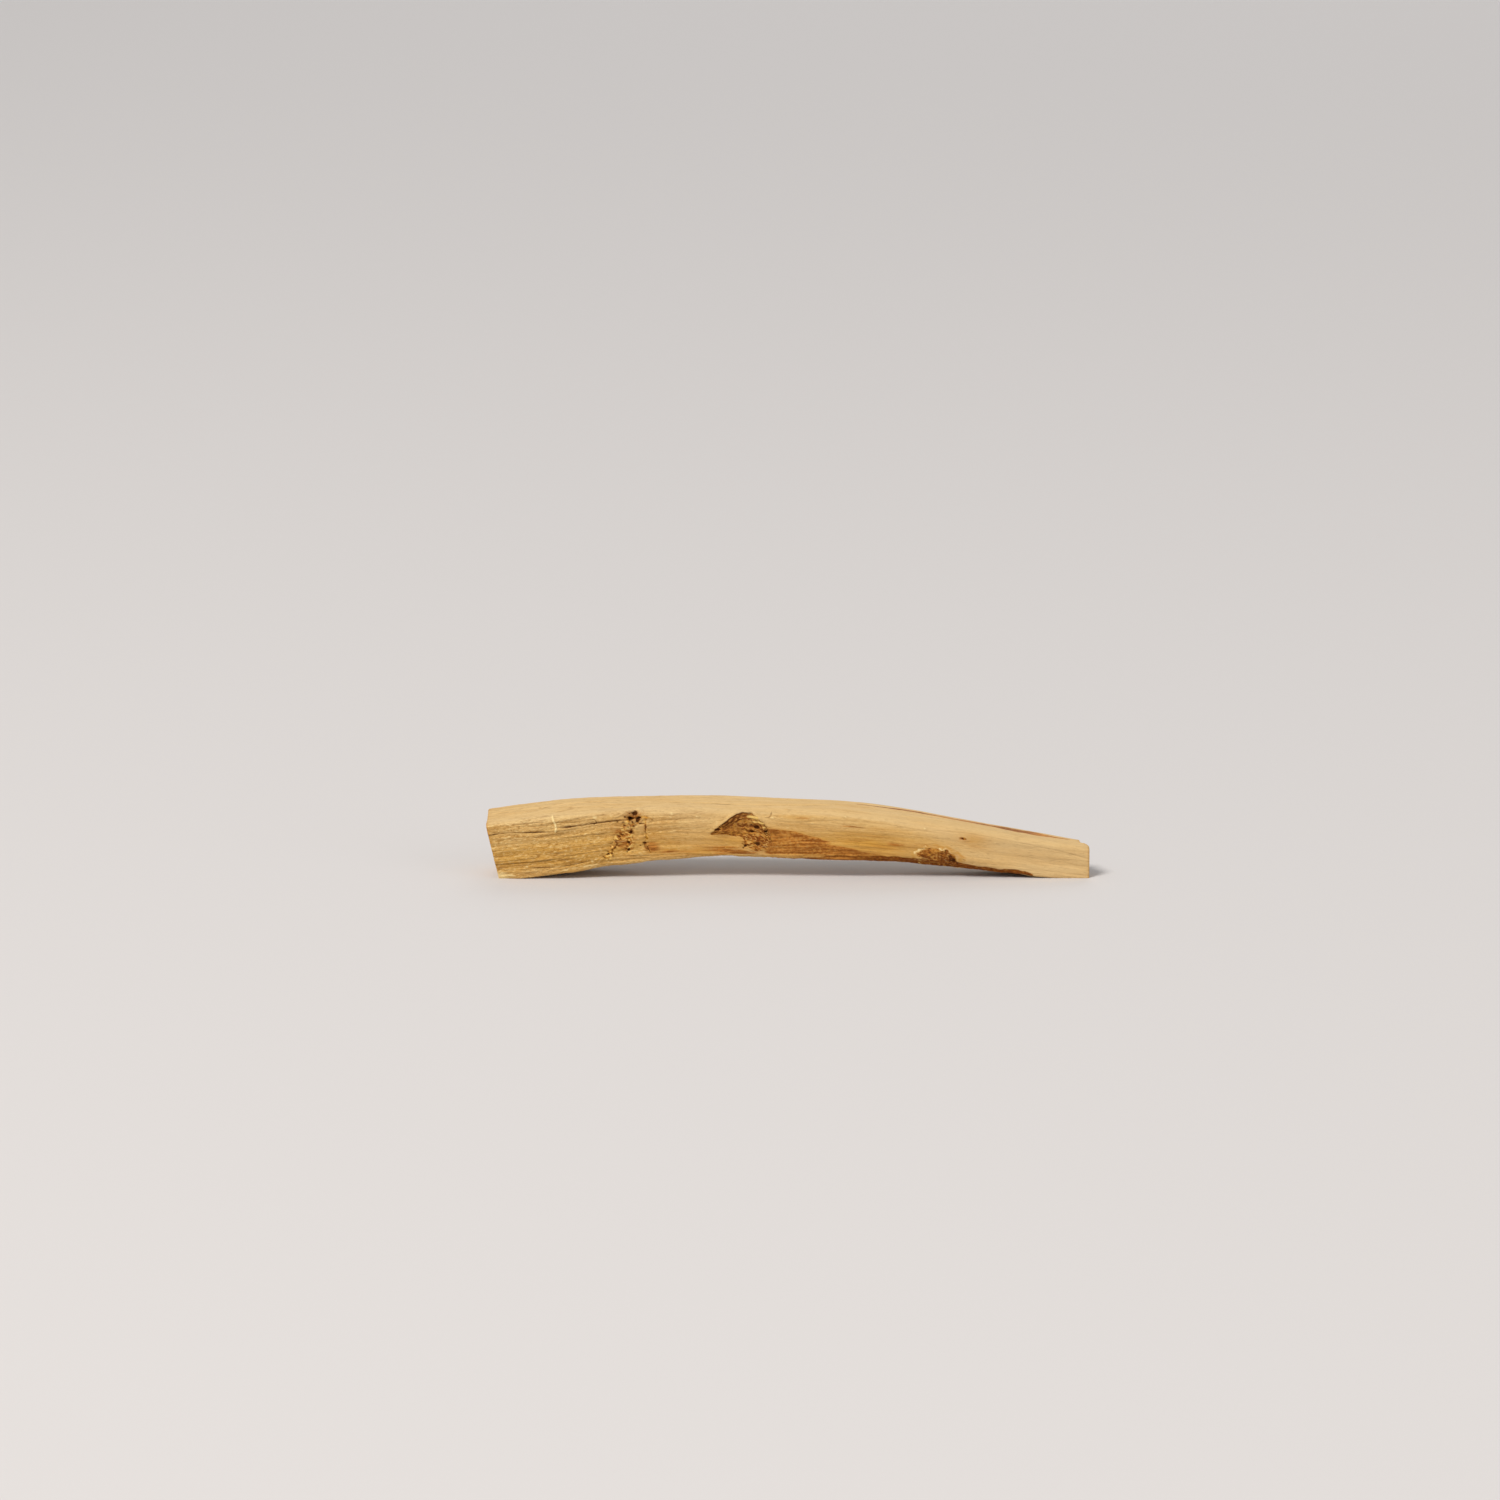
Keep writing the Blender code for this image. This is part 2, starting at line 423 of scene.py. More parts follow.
@dataclass
class Skin:
    """Arrays over the grid of rings and ring points, which the carving steps read and add to.

    Attributes:
        form: the broad shape.
        noise: the source of all that is random on the skin.
        along: share of the length.
        angle: angle round the stick, in radians.
        run: millimetres along the stick from the butt.
        up: height on the ring, from -1 to 1.
        back: place on the ring from front to back, from -1 to 1.
        rise: millimetres above the ring's middle.
        depth: millimetres behind the ring's middle.
        grain: places in the straightened wood, in millimetres, which bend round the knots.
        relief: millimetres that carving has moved the skin outwards.
        marks: strength of each mark.
        crossings: for each kind of thin line, a field that is 0 on the lines and 1 or -1 away from them.
        shades: how dark each kind of line is.
    """

    form: StickForm
    noise: GrainNoise
    along: Array
    angle: Array
    run: Array = field(init=False)
    up: Array = field(init=False)
    back: Array = field(init=False)
    rise: Array = field(init=False)
    depth: Array = field(init=False)
    grain: Array = field(init=False)
    relief: Array = field(init=False)
    marks: dict[Mark, Array] = field(init=False)
    crossings: dict[Line, Array] = field(init=False)
    shades: dict[Line, Array] = field(init=False)

    def __post_init__(self) -> None:
        """Works out each ring's places from the form."""
        out = self.form.reach(self.along, self.angle)
        self.run = self.along * self.form.length
        self.back = out * np.cos(self.angle)
        self.up = out * np.sin(self.angle)
        self.rise = self.up * self.form.half_height(self.along)
        self.depth = self.back * self.form.half_depth(self.along)
        self.grain = np.stack([self.run, self.depth, self.rise], axis=-1)
        self.relief = np.zeros_like(self.along)
        self.marks = {mark: np.zeros_like(self.along) for mark in Mark}
        self.crossings = {line: np.ones_like(self.along) for line in Line}
        self.shades = {line: np.zeros_like(self.along) for line in Line}

    def side(self, side: Side) -> Array:
        """How much each place belongs to a side, from 0 to 1."""
        return side_weight(self.angle, side)

    def across_mm(self, side: Side) -> Array:
        """Millimetres across a side from its middle: up on front and back, backwards on top and underside."""
        return self.rise if side in (Side.FRONT, Side.BACK) else self.depth

    def half_across(self, side: Side) -> Array:
        """Half the side's width in millimetres."""
        half = self.form.half_height if side in (Side.FRONT, Side.BACK) else self.form.half_depth
        return half(self.along)

    def mark(self, mark: Mark, strength: Array) -> None:
        """Marks places at least this strongly."""
        self.marks[mark] = np.maximum(self.marks[mark], np.clip(strength, 0.0, 1.0))

    def draw(self, line: Line, away: Array, shade: Array) -> None:
        """Adds a thin line, which the finish draws where its kind's field is near 0.

        The field is the product of every line's own, each clipped at 1, so it crosses 0 on all of them.

        Args:
            line: the kind of line.
            away: signed distance from the line, in line widths.
            shade: how dark it is, from 0 to 1. It changes slowly and is wider than the line.
        """
        self.crossings[line] *= np.where(shade > 0, np.clip(away / LINE_REACH, -1.0, 1.0), 1.0)
        self.shades[line] = np.maximum(self.shades[line], np.clip(shade, 0.0, 1.0))

    def stretched(self, cell_along: float, cell_across: float) -> Array:
        """Grain places in cells that are long along the grain and narrow across it, sizes in millimetres."""
        return self.grain / (cell_along, cell_across, cell_across)

    def grained(self, cell_along: float, cell_across: float, start: float, layers: int) -> Array:
        """Layered noise from 0 to 1 in such cells. Each start gives a pattern of its own."""
        return self.noise.layered(self.stretched(cell_along, cell_across) + start, layers)

    def mottled(self, cell_along: float, cell_up: float, start: float) -> Array:
        """Two layers of noise from 0 to 1 that doesn't follow the grain round the knots."""
        places = np.stack([self.run / cell_along, self.depth, self.rise / cell_up], axis=-1)
        return self.noise.layered(places + start, 2)

    def above(self, height: float, side: Side = Side.FRONT) -> Array:
        """Millimetres across a side from a line at a height from -1 to 1 on it."""
        return self.across_mm(side) - height * self.half_across(side)

    def from_spot(self, spot: "Spot", half_length: float, half_height: float) -> Array:
        """Distance from a spot, where 1 is an oval of the half sizes round it."""
        over = self.above(spot.height, spot.side)
        return np.hypot((self.run - spot.run) / half_length, over / half_height)


@dataclass(frozen=True)
class Spot:
    """A place on the skin: millimetres along the stick, a height from -1 to 1, and the side it is on."""

    run: float
    height: float
    side: Side = field(default=Side.FRONT, kw_only=True)


@dataclass(frozen=True)
class Eye(Spot):
    """A place that the grain flows round, as it does round a branch."""

    half_length: float
    half_height: float
    strength: float

    def bend(self, skin: Skin) -> None:
        """Pulls the grain's lines apart: near the eye, a place reads the grain of one nearer its middle.

        The grain's height becomes h - d * strength * e^-(r^2), where d is the height above the eye and r the
        distance from it in half sizes.

        Args:
            skin: the skin whose grain is bent.
        """
        near = bell(skin.from_spot(self, self.half_length, self.half_height))
        skin.grain[..., 2] -= skin.above(self.height) * self.strength * near * skin.side(self.side)


@dataclass(frozen=True)
class Check:
    """A long thin crack that follows the grain on one side: a groove with a thin dark line in it.

    Its line goes through heights from -1 to 1 at millimetres along the stick.
    """

    side: Side
    line_at: Stations
    width: float
    depth: float
    dark: float
    wander: float = 0.5
    longest_fade: float = 2.5

    def carve(self, skin: Skin) -> None:
        """Cuts the groove, whose depth falls as e^-(d / width)^2 from its line, and draws the line.

        Args:
            skin: the skin to cut.
        """
        start, end = self.line_at[0][0], self.line_at[-1][0]
        line = through(self.line_at, np.clip(skin.run, start, end))
        broken = step(0.25, 0.5, skin.grained(2.6, 60.0, 11, 1))
        away = skin.above(line, self.side) - self.wander * (skin.grained(5.0, 60.0, 0, 2) - 0.5)
        fade = min(self.longest_fade, (end - start) / 3)
        place = within(start, end, fade, skin.run) * skin.side(self.side)
        skin.relief -= place * bell(away / self.width) * self.depth * (0.6 + 0.4 * broken)
        shade = place * step(0.9, 0.5, np.abs(away)) * self.dark * (0.4 + 0.6 * broken)
        skin.draw(Line.CHECK, away / (0.75 * self.width), shade)


@dataclass(frozen=True)
class Zone(Spot):
    """A soft patch of colour, drawn out along the grain and broken into streaks."""

    mark: Mark
    half_length: float
    half_width: float
    strength: float
    streaks: float = 0.5

    def stain(self, skin: Skin) -> None:
        """Marks an oval with strength * e^-(r^2), less where noise along the grain is low.

        Args:
            skin: the skin to mark.
        """
        away = skin.from_spot(self, self.half_length, self.half_width)
        streak = skin.grained(6.0, 0.55, self.run, 3)
        cover = 1 - self.streaks + self.streaks * step(0.35, 0.62, streak)
        skin.mark(self.mark, self.strength * bell(away) * cover * skin.side(self.side))


@dataclass(frozen=True)
class Seam:
    """A crooked tear across the grain of the front face, from places given as (millimetres along, height).

    It is a band of torn specks, of a width in millimetres, with a thin dark line in it.
    """

    places: tuple[Pair, ...]
    width: float
    depth: float
    specks: float
    stain: float
    dark: float
    line_width: float = 0.13

    def away(self, skin: Skin) -> Array:
        """How far each place on the front face is from the line.

        Args:
            skin: the skin whose places are read.

        Returns:
            Millimetres, below 0 on the line's other side.
        """
        half = skin.half_across(Side.FRONT)
        nearest = np.full_like(skin.run, np.inf)
        for (run_a, height_a), (run_b, height_b) in zip(self.places, self.places[1:]):
            beside, over = skin.run - run_a, skin.above(height_a)
            span, lift = run_b - run_a, (height_b - height_a) * half
            t = np.clip((beside * span + over * lift) / (span**2 + lift**2 + 1e-9), 0.0, 1.0)
            sign = np.where(beside * lift > over * span, 1, -1)
            away = np.hypot(beside - t * span, over - t * lift) * sign
            nearest = np.where(np.abs(away) < np.abs(nearest), away, nearest)
        return nearest

    def carve(self, skin: Skin) -> None:
        """Roughens a band along the line, whose strength falls as e^-(distance / width)^2, and marks it.

        Args:
            skin: the skin to dent.
        """
        front = skin.side(Side.FRONT)
        lumps = skin.mottled(0.7, 0.6, 13) - 0.5
        away = self.away(skin) + 0.7 * lumps
        loose = skin.mottled(1.3, 1.1, 43)
        line = front * bell(away / (self.width * (0.5 + 1.1 * loose)))
        skin.relief += self.depth * line * (2.2 * lumps - 0.3)
        skin.mark(Mark.SPECK, self.specks * line * step(0.28, 0.5, loose))
        skin.mark(Mark.SCAR, self.stain * front * bell(away / self.width))
        shade = front * step(0.5, 0.3, np.abs(away)) * step(0.62, 0.4, loose)
        skin.draw(Line.CHECK, away / self.line_width, self.dark * shade)


@dataclass(frozen=True)
class Pit(Spot):
    """A small dark hole with a ragged rim. Its size and depth are in millimetres."""

    size: float
    depth: float

    def carve(self, skin: Skin) -> None:
        """Sinks the skin over an oval, level inside and smooth at the rim, and darkens it with painted shade.

        Args:
            skin: the skin to dent.
        """
        ragged = skin.mottled(0.6, 0.35, 37) - 0.5
        away = skin.from_spot(self, 1.2 * self.size, self.size) * (1 + 2.2 * ragged)
        shape = skin.side(self.side) * (1 - step(0.35, 1.3, away))
        skin.relief -= self.depth * shape
        # The hole's darkening is painted shade.
        skin.mark(Mark.BLACK_AND_PAINTED_SHADE, shape)
        skin.mark(Mark.SCAR, 0.6 * skin.side(self.side) * bell(away / 2.0))


@dataclass(frozen=True)
class Chip(Spot):
    """A pale fleck of lifted wood. Its size is in millimetres."""

    size: float
    height_raised: float = 0.12

    def carve(self, skin: Skin) -> None:
        """Raises and pales a small oval.

        Args:
            skin: the skin to raise.
        """
        shape = skin.side(self.side) * bell(skin.from_spot(self, 1.5 * self.size, self.size))
        skin.relief += self.height_raised * shape
        skin.mark(Mark.PALE, 0.6 * shape)


@dataclass(frozen=True)
class BrowScar:
    """The big scar: torn fibres that run along under a slanting brow, and a dark lump at its lower right.

    The brow and the foot are heights from -1 to 1 at millimetres along the stick. An _in and an _out are
    where a thing fades in and out. A crease is a drop below the brow with its start and its end, also in
    millimetres.
    """

    brow: Stations = (
        (36.0, -0.12), (37.5, 0.18), (38.9, 0.40), (40.7, 0.72), (41.9, 0.84), (43.4, 0.80), (44.3, 0.66),
        (45.1, 0.36), (45.8, -0.05),
    )
    foot: Stations = (
        (36.0, -0.14), (37.4, -0.1), (39.2, -0.16), (40.8, -0.22), (42.5, -0.4), (45.8, -0.45),
    )
    fibre_length: float = 3.2
    fibre_width: float = 0.4
    fibre_depth: float = 0.2
    hollow: float = 0.32
    lip_height: float = 0.12
    rim_width: float = 0.13
    rim_in: Pair = (37.2, 38.6)
    rim_out: Pair = (42.8, 44.0)
    creases: tuple[tuple[float, float, float], ...] = ((0.5, 38.2, 43.4), (1.05, 39.8, 44.2))
    turned_grain: float = 60.0
    tuft_in: Pair = (42.2, 43.0)
    tuft_out: Pair = (45.0, 45.5)
    tuft_height: float = 0.16
    lump_run: float = 43.5
    lump_rise: float = -1.75
    lump_half_length: float = 2.6
    lump_half_height: float = 1.75
    lump_rough: float = 0.36

    def carve(self, skin: Skin) -> None:
        """Cuts fibres along lines of equal share of the way from foot to brow, and turns the grain to them.

        Args:
            skin: the skin to carve.
        """
        half = skin.half_across(Side.FRONT)
        fine = skin.grained(0.9, 0.7, 0, 3) - 0.5
        run = skin.run + 1.1 * fine
        brow, foot = (np.interp(run, *np.array(line).T) * half for line in (self.brow, self.foot))
        tall = np.maximum(brow - foot, 0.05)
        share = (skin.rise - foot + 0.5 * fine) / tall
        start, end = self.brow[0][0], self.brow[-1][0]
        bounds = skin.side(Side.FRONT) * plateau((start, start + 0.3), (end - 0.25, end), run)
        inside = bounds * plateau((-0.02, 0.06), (0.93, 1.0), share)
        places = np.stack([skin.run / self.fibre_length, fine, share * tall / self.fibre_width], axis=-1)
        fibre = skin.noise.layered(places + 21, 3)
        hollow = self.hollow * (0.4 + 0.6 * step(40.0, 44.0, skin.run))
        skin.relief += inside * (2 * self.fibre_depth * (fibre - 0.5) - hollow)
        skin.relief += self.lip_height * bounds * bell((share - 1.08) / 0.09)
        skin.mark(Mark.SCAR, inside)
        skin.mark(Mark.SPECK, inside * 0.2)
        skin.mark(Mark.DEEP, inside * bell((share - 0.9) / 0.14) * step(38.0, 40.0, skin.run) * 0.45)

        under_brow = (share - 0.97) * tall
        patchy = 0.45 + 0.55 * step(0.35, 0.55, skin.grained(1.6, 9.0, 51, 1))
        near = bounds * plateau(self.rim_in, self.rim_out, skin.run) * patchy
        skin.draw(Line.RIM, under_brow / self.rim_width, near * step(0.7, 0.4, np.abs(under_brow)))
        for drop, first, last in self.creases:
            crease = under_brow + drop + 0.35 * (fibre - 0.5)
            shade = near * within(first, last, 1.0, skin.run) * step(0.5, 0.3, np.abs(crease))
            skin.draw(Line.RIM, crease / self.rim_width, shade)
        along_fibres = self.turned_grain + share * 4.0
        skin.grain[..., 2] = np.where(inside > 0.5, along_fibres, skin.grain[..., 2])

        tuft = inside * step(0.62, 0.78, share) * plateau(self.tuft_in, self.tuft_out, skin.run)
        strands = skin.noise.layered(places * (0.8, 1.0, 1.7) + 5, 2)
        skin.mark(Mark.PALE, tuft * (0.35 + 0.65 * step(0.42, 0.55, strands)))
        skin.relief += self.tuft_height * tuft * step(0.42, 0.6, strands)
        self.carve_lump(skin, fine)

    def carve_lump(self, skin: Skin, fine: Array) -> None:
        """Roughens and darkens an oval with a frayed border, darkest at the border.

        Args:
            skin: the skin to carve.
            fine: noise from -0.5 to 0.5, which frays the border.
        """
        beside = (skin.run - self.lump_run) / self.lump_half_length
        away = np.hypot(beside, (skin.rise - self.lump_rise) / self.lump_half_height) + 0.9 * fine
        rough = skin.side(Side.FRONT) * (1 - step(0.62, 1.05, away))
        skin.relief += rough * self.lump_rough * (skin.grained(0.8, 0.4, 5, 2) - 0.5)
        skin.mark(Mark.SCAR, rough)
        skin.mark(Mark.SPECK, rough * 0.45)
        skin.mark(Mark.DEEP, rough * (0.4 + 0.5 * step(0.25, 0.8, away)))


@dataclass(frozen=True)
class EdgeScar(Spot):
    """The small scar over the lower edge: a red-brown patch, darkest at its right, with a pale gold rim."""

    run: float = 73.0
    height: float = -0.60
    half_length: float = 3.5
    half_height: float = 1.95
    rough: float = 0.3

    def carve(self, skin: Skin) -> None:
        """Roughens and darkens an oval with a wavering rim.

        Args:
            skin: the skin to carve.
        """
        front = np.maximum(skin.side(self.side), lower_edge(skin.angle))
        beside = skin.run - self.run
        fine = skin.grained(0.9, 0.5, 3, 3) - 0.5
        away = skin.from_spot(self, self.half_length, self.half_height) + 0.6 * fine
        inside = front * (1 - step(0.72, 1.0, away))
        skin.relief += inside * self.rough * fine
        skin.mark(Mark.SCAR, inside)
        skin.mark(Mark.SPECK, inside * 0.25)
        skin.mark(Mark.DEEP, inside * (0.45 + 0.55 * step(-0.6, 1.4, beside)))
        skin.mark(Mark.BLACK_AND_PAINTED_SHADE, inside * step(0.6, 2.2, beside) * step(-0.15, 0.0, fine) * 0.5)
        patchy = step(0.4, 0.6, skin.grained(1.4, 0.9, 57, 2)) * (1 - step(0.6, 2.2, beside))
        skin.mark(Mark.PALE, 0.75 * front * bell((away - 1.02) / 0.09) * patchy)
        skin.mark(Mark.GOLD, 0.8 * front * bell((away - 1.12) / 0.14))


@dataclass(frozen=True)
class SplitSkin:
    """The torn surface that splitting leaves all over: terraces, ribs, fibres along the grain, and grit.

    Each pair of sizes is for the smoothest and for the most torn wood, in millimetres.
    """

    terrace_run: float = 34.0
    terrace_width: float = 2.4
    terrace_count: float = 7.0
    terrace_height: Pair = (0.03, 0.32)
    foot_width: float = 0.04
    rib_width: float = 0.75
    rib_height: Pair = (0.03, 0.21)
    fibre_width: float = 0.34
    fibre_height: Pair = (0.02, 0.14)
    grit_height: Pair = (0.004, 0.06)
    swell_height: float = 0.12
    plain_grit: float = 0.22
    calm_edge: float = math.radians(62.0)
    torn_at: tuple[tuple[Side, Stations], ...] = (
        (Side.FRONT, ((0.0, 0.62), (0.2, 0.55), (0.34, 0.28), (0.6, 0.12), (0.75, 0.07), (1.0, 0.07))),
        (Side.TOP, ((0.0, 0.5), (0.25, 0.35), (0.55, 0.12), (1.0, 0.1))),
        (Side.BACK, ((0.0, 0.9), (0.5, 1.0), (1.0, 0.85))),
        (Side.UNDER, ((0.0, 0.6), (0.4, 0.8), (1.0, 0.6))),
    )

    def carve(self, skin: Skin) -> None:
        """Adds noise that is long along the grain, cut into stairs for the terraces.

        A stair is floor(k) + a steep smooth rise, less most of k, so that the treads lean and the whole
        stays near zero. A dark line is drawn at the foot of each rise, where sin(pi k) is 0, and its lip is
        pale.

        Args:
            skin: the skin to carve.
        """
        torn = self.torn(skin)
        skin.mark(Mark.TORN, torn)
        skin.mark(Mark.GRIT, torn * (self.plain_grit + (1 - self.plain_grit) * skin.side(Side.FRONT)))
        calm = 1 - 0.75 * bell((skin.angle - self.calm_edge) / 0.42)
        swell = skin.grained(16.0, 3.2, 31, 2) - 0.5
        skin.relief += self.swell_height * 2 * swell * calm

        level = self.terrace_count * skin.grained(self.terrace_run, self.terrace_width, 0, 3)
        part = level - np.floor(level)
        rise = step(0.0, 0.16, part)
        height = self.between(self.terrace_height, torn) * calm
        skin.relief += height * (np.floor(level) + rise - 0.75 * level - 0.9)
        lip = bell((part - 0.2) / 0.06)
        sparse = step(0.4, 0.6, skin.grained(9.0, 3.0, 17, 2))
        foot = np.sin(math.pi * level) / (math.pi * self.foot_width)
        skin.draw(Line.LEDGE, foot, sparse * (0.05 + 0.75 * torn))
        skin.mark(Mark.PALE, lip * sparse * (0.05 + 0.4 * torn))

        rib = skin.grained(18.0, self.rib_width, 3, 3) - 0.5
        skin.relief += self.between(self.rib_height, torn) * 2 * rib * calm
        fibre = 1 - np.abs(2 * skin.grained(7.0, self.fibre_width, 9, 2) - 1)
        skin.relief += self.between(self.fibre_height, torn) * (fibre - 0.7)
        grit = skin.grained(0.95, 0.36, 29, 2) - 0.5
        skin.relief += self.between(self.grit_height, torn) * 2 * grit

    def between(self, sizes: Pair, torn: Array) -> Array:
        """A size between the pair's two, by how torn the skin is."""
        return sizes[0] + (sizes[1] - sizes[0]) * torn

    def torn(self, skin: Skin) -> Array:
        """How torn the skin is, by side and along the stick.

        Args:
            skin: the skin whose places are read.

        Returns:
            A share from 0 to 1 for each place.
        """
        weights = {side: skin.side(side) + 0.02 for side in Side}
        total = sum(weights[side] * through(at, skin.along) for side, at in self.torn_at)
        return total / sum(weights.values())


@dataclass(frozen=True)
class SawnEnd:
    """The relief of a sawn end: saw marks, a rough grain and a few cracks from the heart side.

    Sizes are in millimetres. A crack is given by the angle at which it is seen from the heart, in radians.
    """

    saw_pitch: float = 0.9
    saw_depth: float = 0.022
    grain_size: float = 0.4
    grain_depth: float = 0.06
    saw_turn: float = math.radians(24.0)
    cracks: tuple[float, ...] = (-0.05, 0.07)
    crack_width: float = 0.09
    crack_depth: float = 0.2
    wander_size: float = 1.6

    def rough(self, depth: Array, rise: Array, size: float, start: Color, noise: GrainNoise) -> Array:
        """Layered noise from -0.5 to 0.5 in cells of a size. Each start gives a pattern of its own."""
        places = np.stack([np.zeros_like(depth), depth / size, rise / size], axis=-1)
        return noise.layered(places + start, 3) - 0.5

    def relief(self, depth: Array, rise: Array, share: Array, start: float, noise: GrainNoise) -> Array:
        """How far each place on the end stands out, in millimetres.

        Saw marks are waves across a turned line. Cracks are thin bells of the angle seen from the heart.

        Args:
            depth: millimetres behind the ring's middle.
            rise: millimetres above it.
            share: 1 at the rim and 0 at the middle.
            start: a number that makes the two ends differ.
            noise: the rough grain.

        Returns:
            The relief, which falls to nothing at the rim.
        """
        turned = depth * math.cos(self.saw_turn) + rise * math.sin(self.saw_turn)
        rough = self.rough(depth, rise, self.grain_size, (start, 0.0, 0.0), noise)
        saw = np.sin(2 * math.pi * turned / self.saw_pitch + 3 * rough)
        total = self.saw_depth * saw + 2 * self.grain_depth * rough
        away, reach = self.crack_field(depth, rise, start, noise)
        total -= self.crack_depth * reach * bell(away)
        return total * step(0.0, 0.12, 1 - share)

    def crack_field(self, depth: Array, rise: Array, start: float, noise: GrainNoise) -> tuple[Array, Array]:
        """Where the cracks are: they run towards the heart, wander a little, and end inside the wood.

        Args:
            depth: millimetres behind the ring's middle.
            rise: millimetres above it.
            start: a number that makes the two ends differ.
            noise: the wander.

        Returns:
            Signed distance from the nearest crack in crack widths, and how open it is there.
        """
        back, up = depth - HEART[0], rise - HEART[1]
        bearing = np.arctan2(up, back) - math.atan2(-HEART[1], -HEART[0])
        wander = self.rough(depth, rise, self.wander_size, (start + 19.0, 19.0, 19.0), noise)
        away, reach = np.full_like(depth, LINE_REACH), np.zeros_like(depth)
        for number, crack in enumerate(self.cracks):
            beside = ((bearing - crack) * np.hypot(up, back) + 0.7 * wander) / self.crack_width
            nearer = np.abs(beside) < np.abs(away)
            side = depth * math.cos(2.2 * number + start) + 1.5 * math.sin(number)
            away = np.where(nearer, beside, away)
            reach = np.where(nearer, step(0.5, -2.0, side), reach)
        return away, reach


class Number:
    """A number inside a material. Python's operators on it add Math nodes."""

    def __init__(self, tree: "NodeTree", socket: Socket) -> None:
        """Wraps an output socket of the tree."""
        self.tree = tree
        self.socket = socket

    def math(self, operation: str, *others: "Number | float") -> "Number":
        """The result of a Math node on this number and others."""
        sockets = dict(enumerate([self, *others]))
        return self.tree.number("ShaderNodeMath", {"operation": operation}, sockets)

    def __add__(self, other: "Number | float") -> "Number":
        """Sum."""
        return self.math("ADD", other)

    def __radd__(self, other: float) -> "Number":
        """Sum with a plain number first."""
        return self.math("ADD", other)

    def __sub__(self, other: "Number | float") -> "Number":
        """Difference."""
        return self.math("SUBTRACT", other)

    def __rsub__(self, other: float) -> "Number":
        """Difference from a plain number."""
        return self.tree.number("ShaderNodeMath", {"operation": "SUBTRACT"}, {0: other, 1: self})

    def __mul__(self, other: "Number | float") -> "Number":
        """Product."""
        return self.math("MULTIPLY", other)

    def __rmul__(self, other: float) -> "Number":
        """Product with a plain number first."""
        return self.math("MULTIPLY", other)

    def clamped(self) -> "Number":
        """Kept between 0 and 1."""
        return self.tree.number("ShaderNodeClamp", {}, {"Value": self})

    def step(self, low: float, high: float) -> "Number":
        """0 below low, 1 above high and smooth between, or the other way round where high is the smaller.

        Args:
            low: where it is 0.
            high: where it is 1.

        Returns:
            The stepped number.
        """
        flipped = high < low
        start, end = (high, low) if flipped else (low, high)
        settings = {"interpolation_type": "SMOOTHSTEP"}
        bounds = {"From Min": start, "From Max": end, "To Min": float(flipped), "To Max": 1 - float(flipped)}
        return self.tree.number("ShaderNodeMapRange", settings, {"Value": self, **bounds})


class NodeTree:
    """A material's node tree, with one method that adds any node."""

    def __init__(self, material: bpy.types.Material) -> None:
        """Starts from the material's own tree, emptied.

        Args:
            material: the material to build in.
        """
        material.use_nodes = True
        self.tree = material.node_tree
        self.tree.nodes.clear()

    def node(self, kind: str, settings: dict, sockets: dict) -> bpy.types.Node:
        """Adds a node.

        Args:
            kind: the node's type.
            settings: its properties, set before the sockets.
            sockets: input name or number to a value, a Number or an output socket.

        Returns:
            The node.
        """
        node = self.tree.nodes.new(kind)
        for name, value in settings.items():
            setattr(node, name, value)
        for name, value in sockets.items():
            target = node.inputs[name]
            source = value.socket if isinstance(value, Number) else value
            if isinstance(source, Socket):
                self.tree.links.new(source, target)
            else:
                target.default_value = source
        return node

    def number(self, kind: str, settings: dict, sockets: dict) -> Number:
        """Adds a node and wraps its first output as a number."""
        return Number(self, self.node(kind, settings, sockets).outputs[0])

    def attribute(self, name: str) -> Number:
        """A point attribute of the mesh, as a number."""
        node = self.node("ShaderNodeAttribute", {"attribute_type": "GEOMETRY", "attribute_name": name}, {})
        return Number(self, node.outputs["Fac"])

    def noise(self, vector: Socket, detail: float, roughness: float) -> Number:
        """Blender's noise texture at a vector, in cells of 1, as a number from 0 to 1."""
        sockets = {"Vector": vector, "Scale": 1.0, "Detail": detail, "Roughness": roughness}
        return self.number("ShaderNodeTexNoise", {"noise_dimensions": "3D"}, sockets)

    def stretch(self, vector: Socket, factors: Color, shift: Color) -> Socket:
        """The vector times factors plus a shift, each by component."""
        sockets = {0: vector, 1: factors, 2: shift}
        return self.node("ShaderNodeVectorMath", {"operation": "MULTIPLY_ADD"}, sockets).outputs[0]

    def blend(self, factor: Number | float, first: object, second: object) -> Socket:
        """A colour between two, by a Mix node.

        Args:
            factor: 0 for the first colour and 1 for the second.
            first: a colour or a colour socket.
            second: another.

        Returns:
            The blended colour's socket.
        """
        settings = {"data_type": "RGBA", "blend_type": "MIX", "clamp_factor": True}
        sockets = {0: factor, 6: self.rgba(first), 7: self.rgba(second)}
        return self.node("ShaderNodeMix", settings, sockets).outputs[2]

    def coats(self, color: object, *coats: tuple[Number | float, object]) -> Socket:
        """Lays colours over a colour, one after the other, each as strongly as its factor."""
        for factor, coat in coats:
            color = self.blend(factor, color, coat)
        return color

    @staticmethod
    def rgba(color: object) -> object:
        """A plain colour with its alpha added. A socket stays as it is."""
        return (*color, 1.0) if isinstance(color, tuple) and len(color) == 3 else color


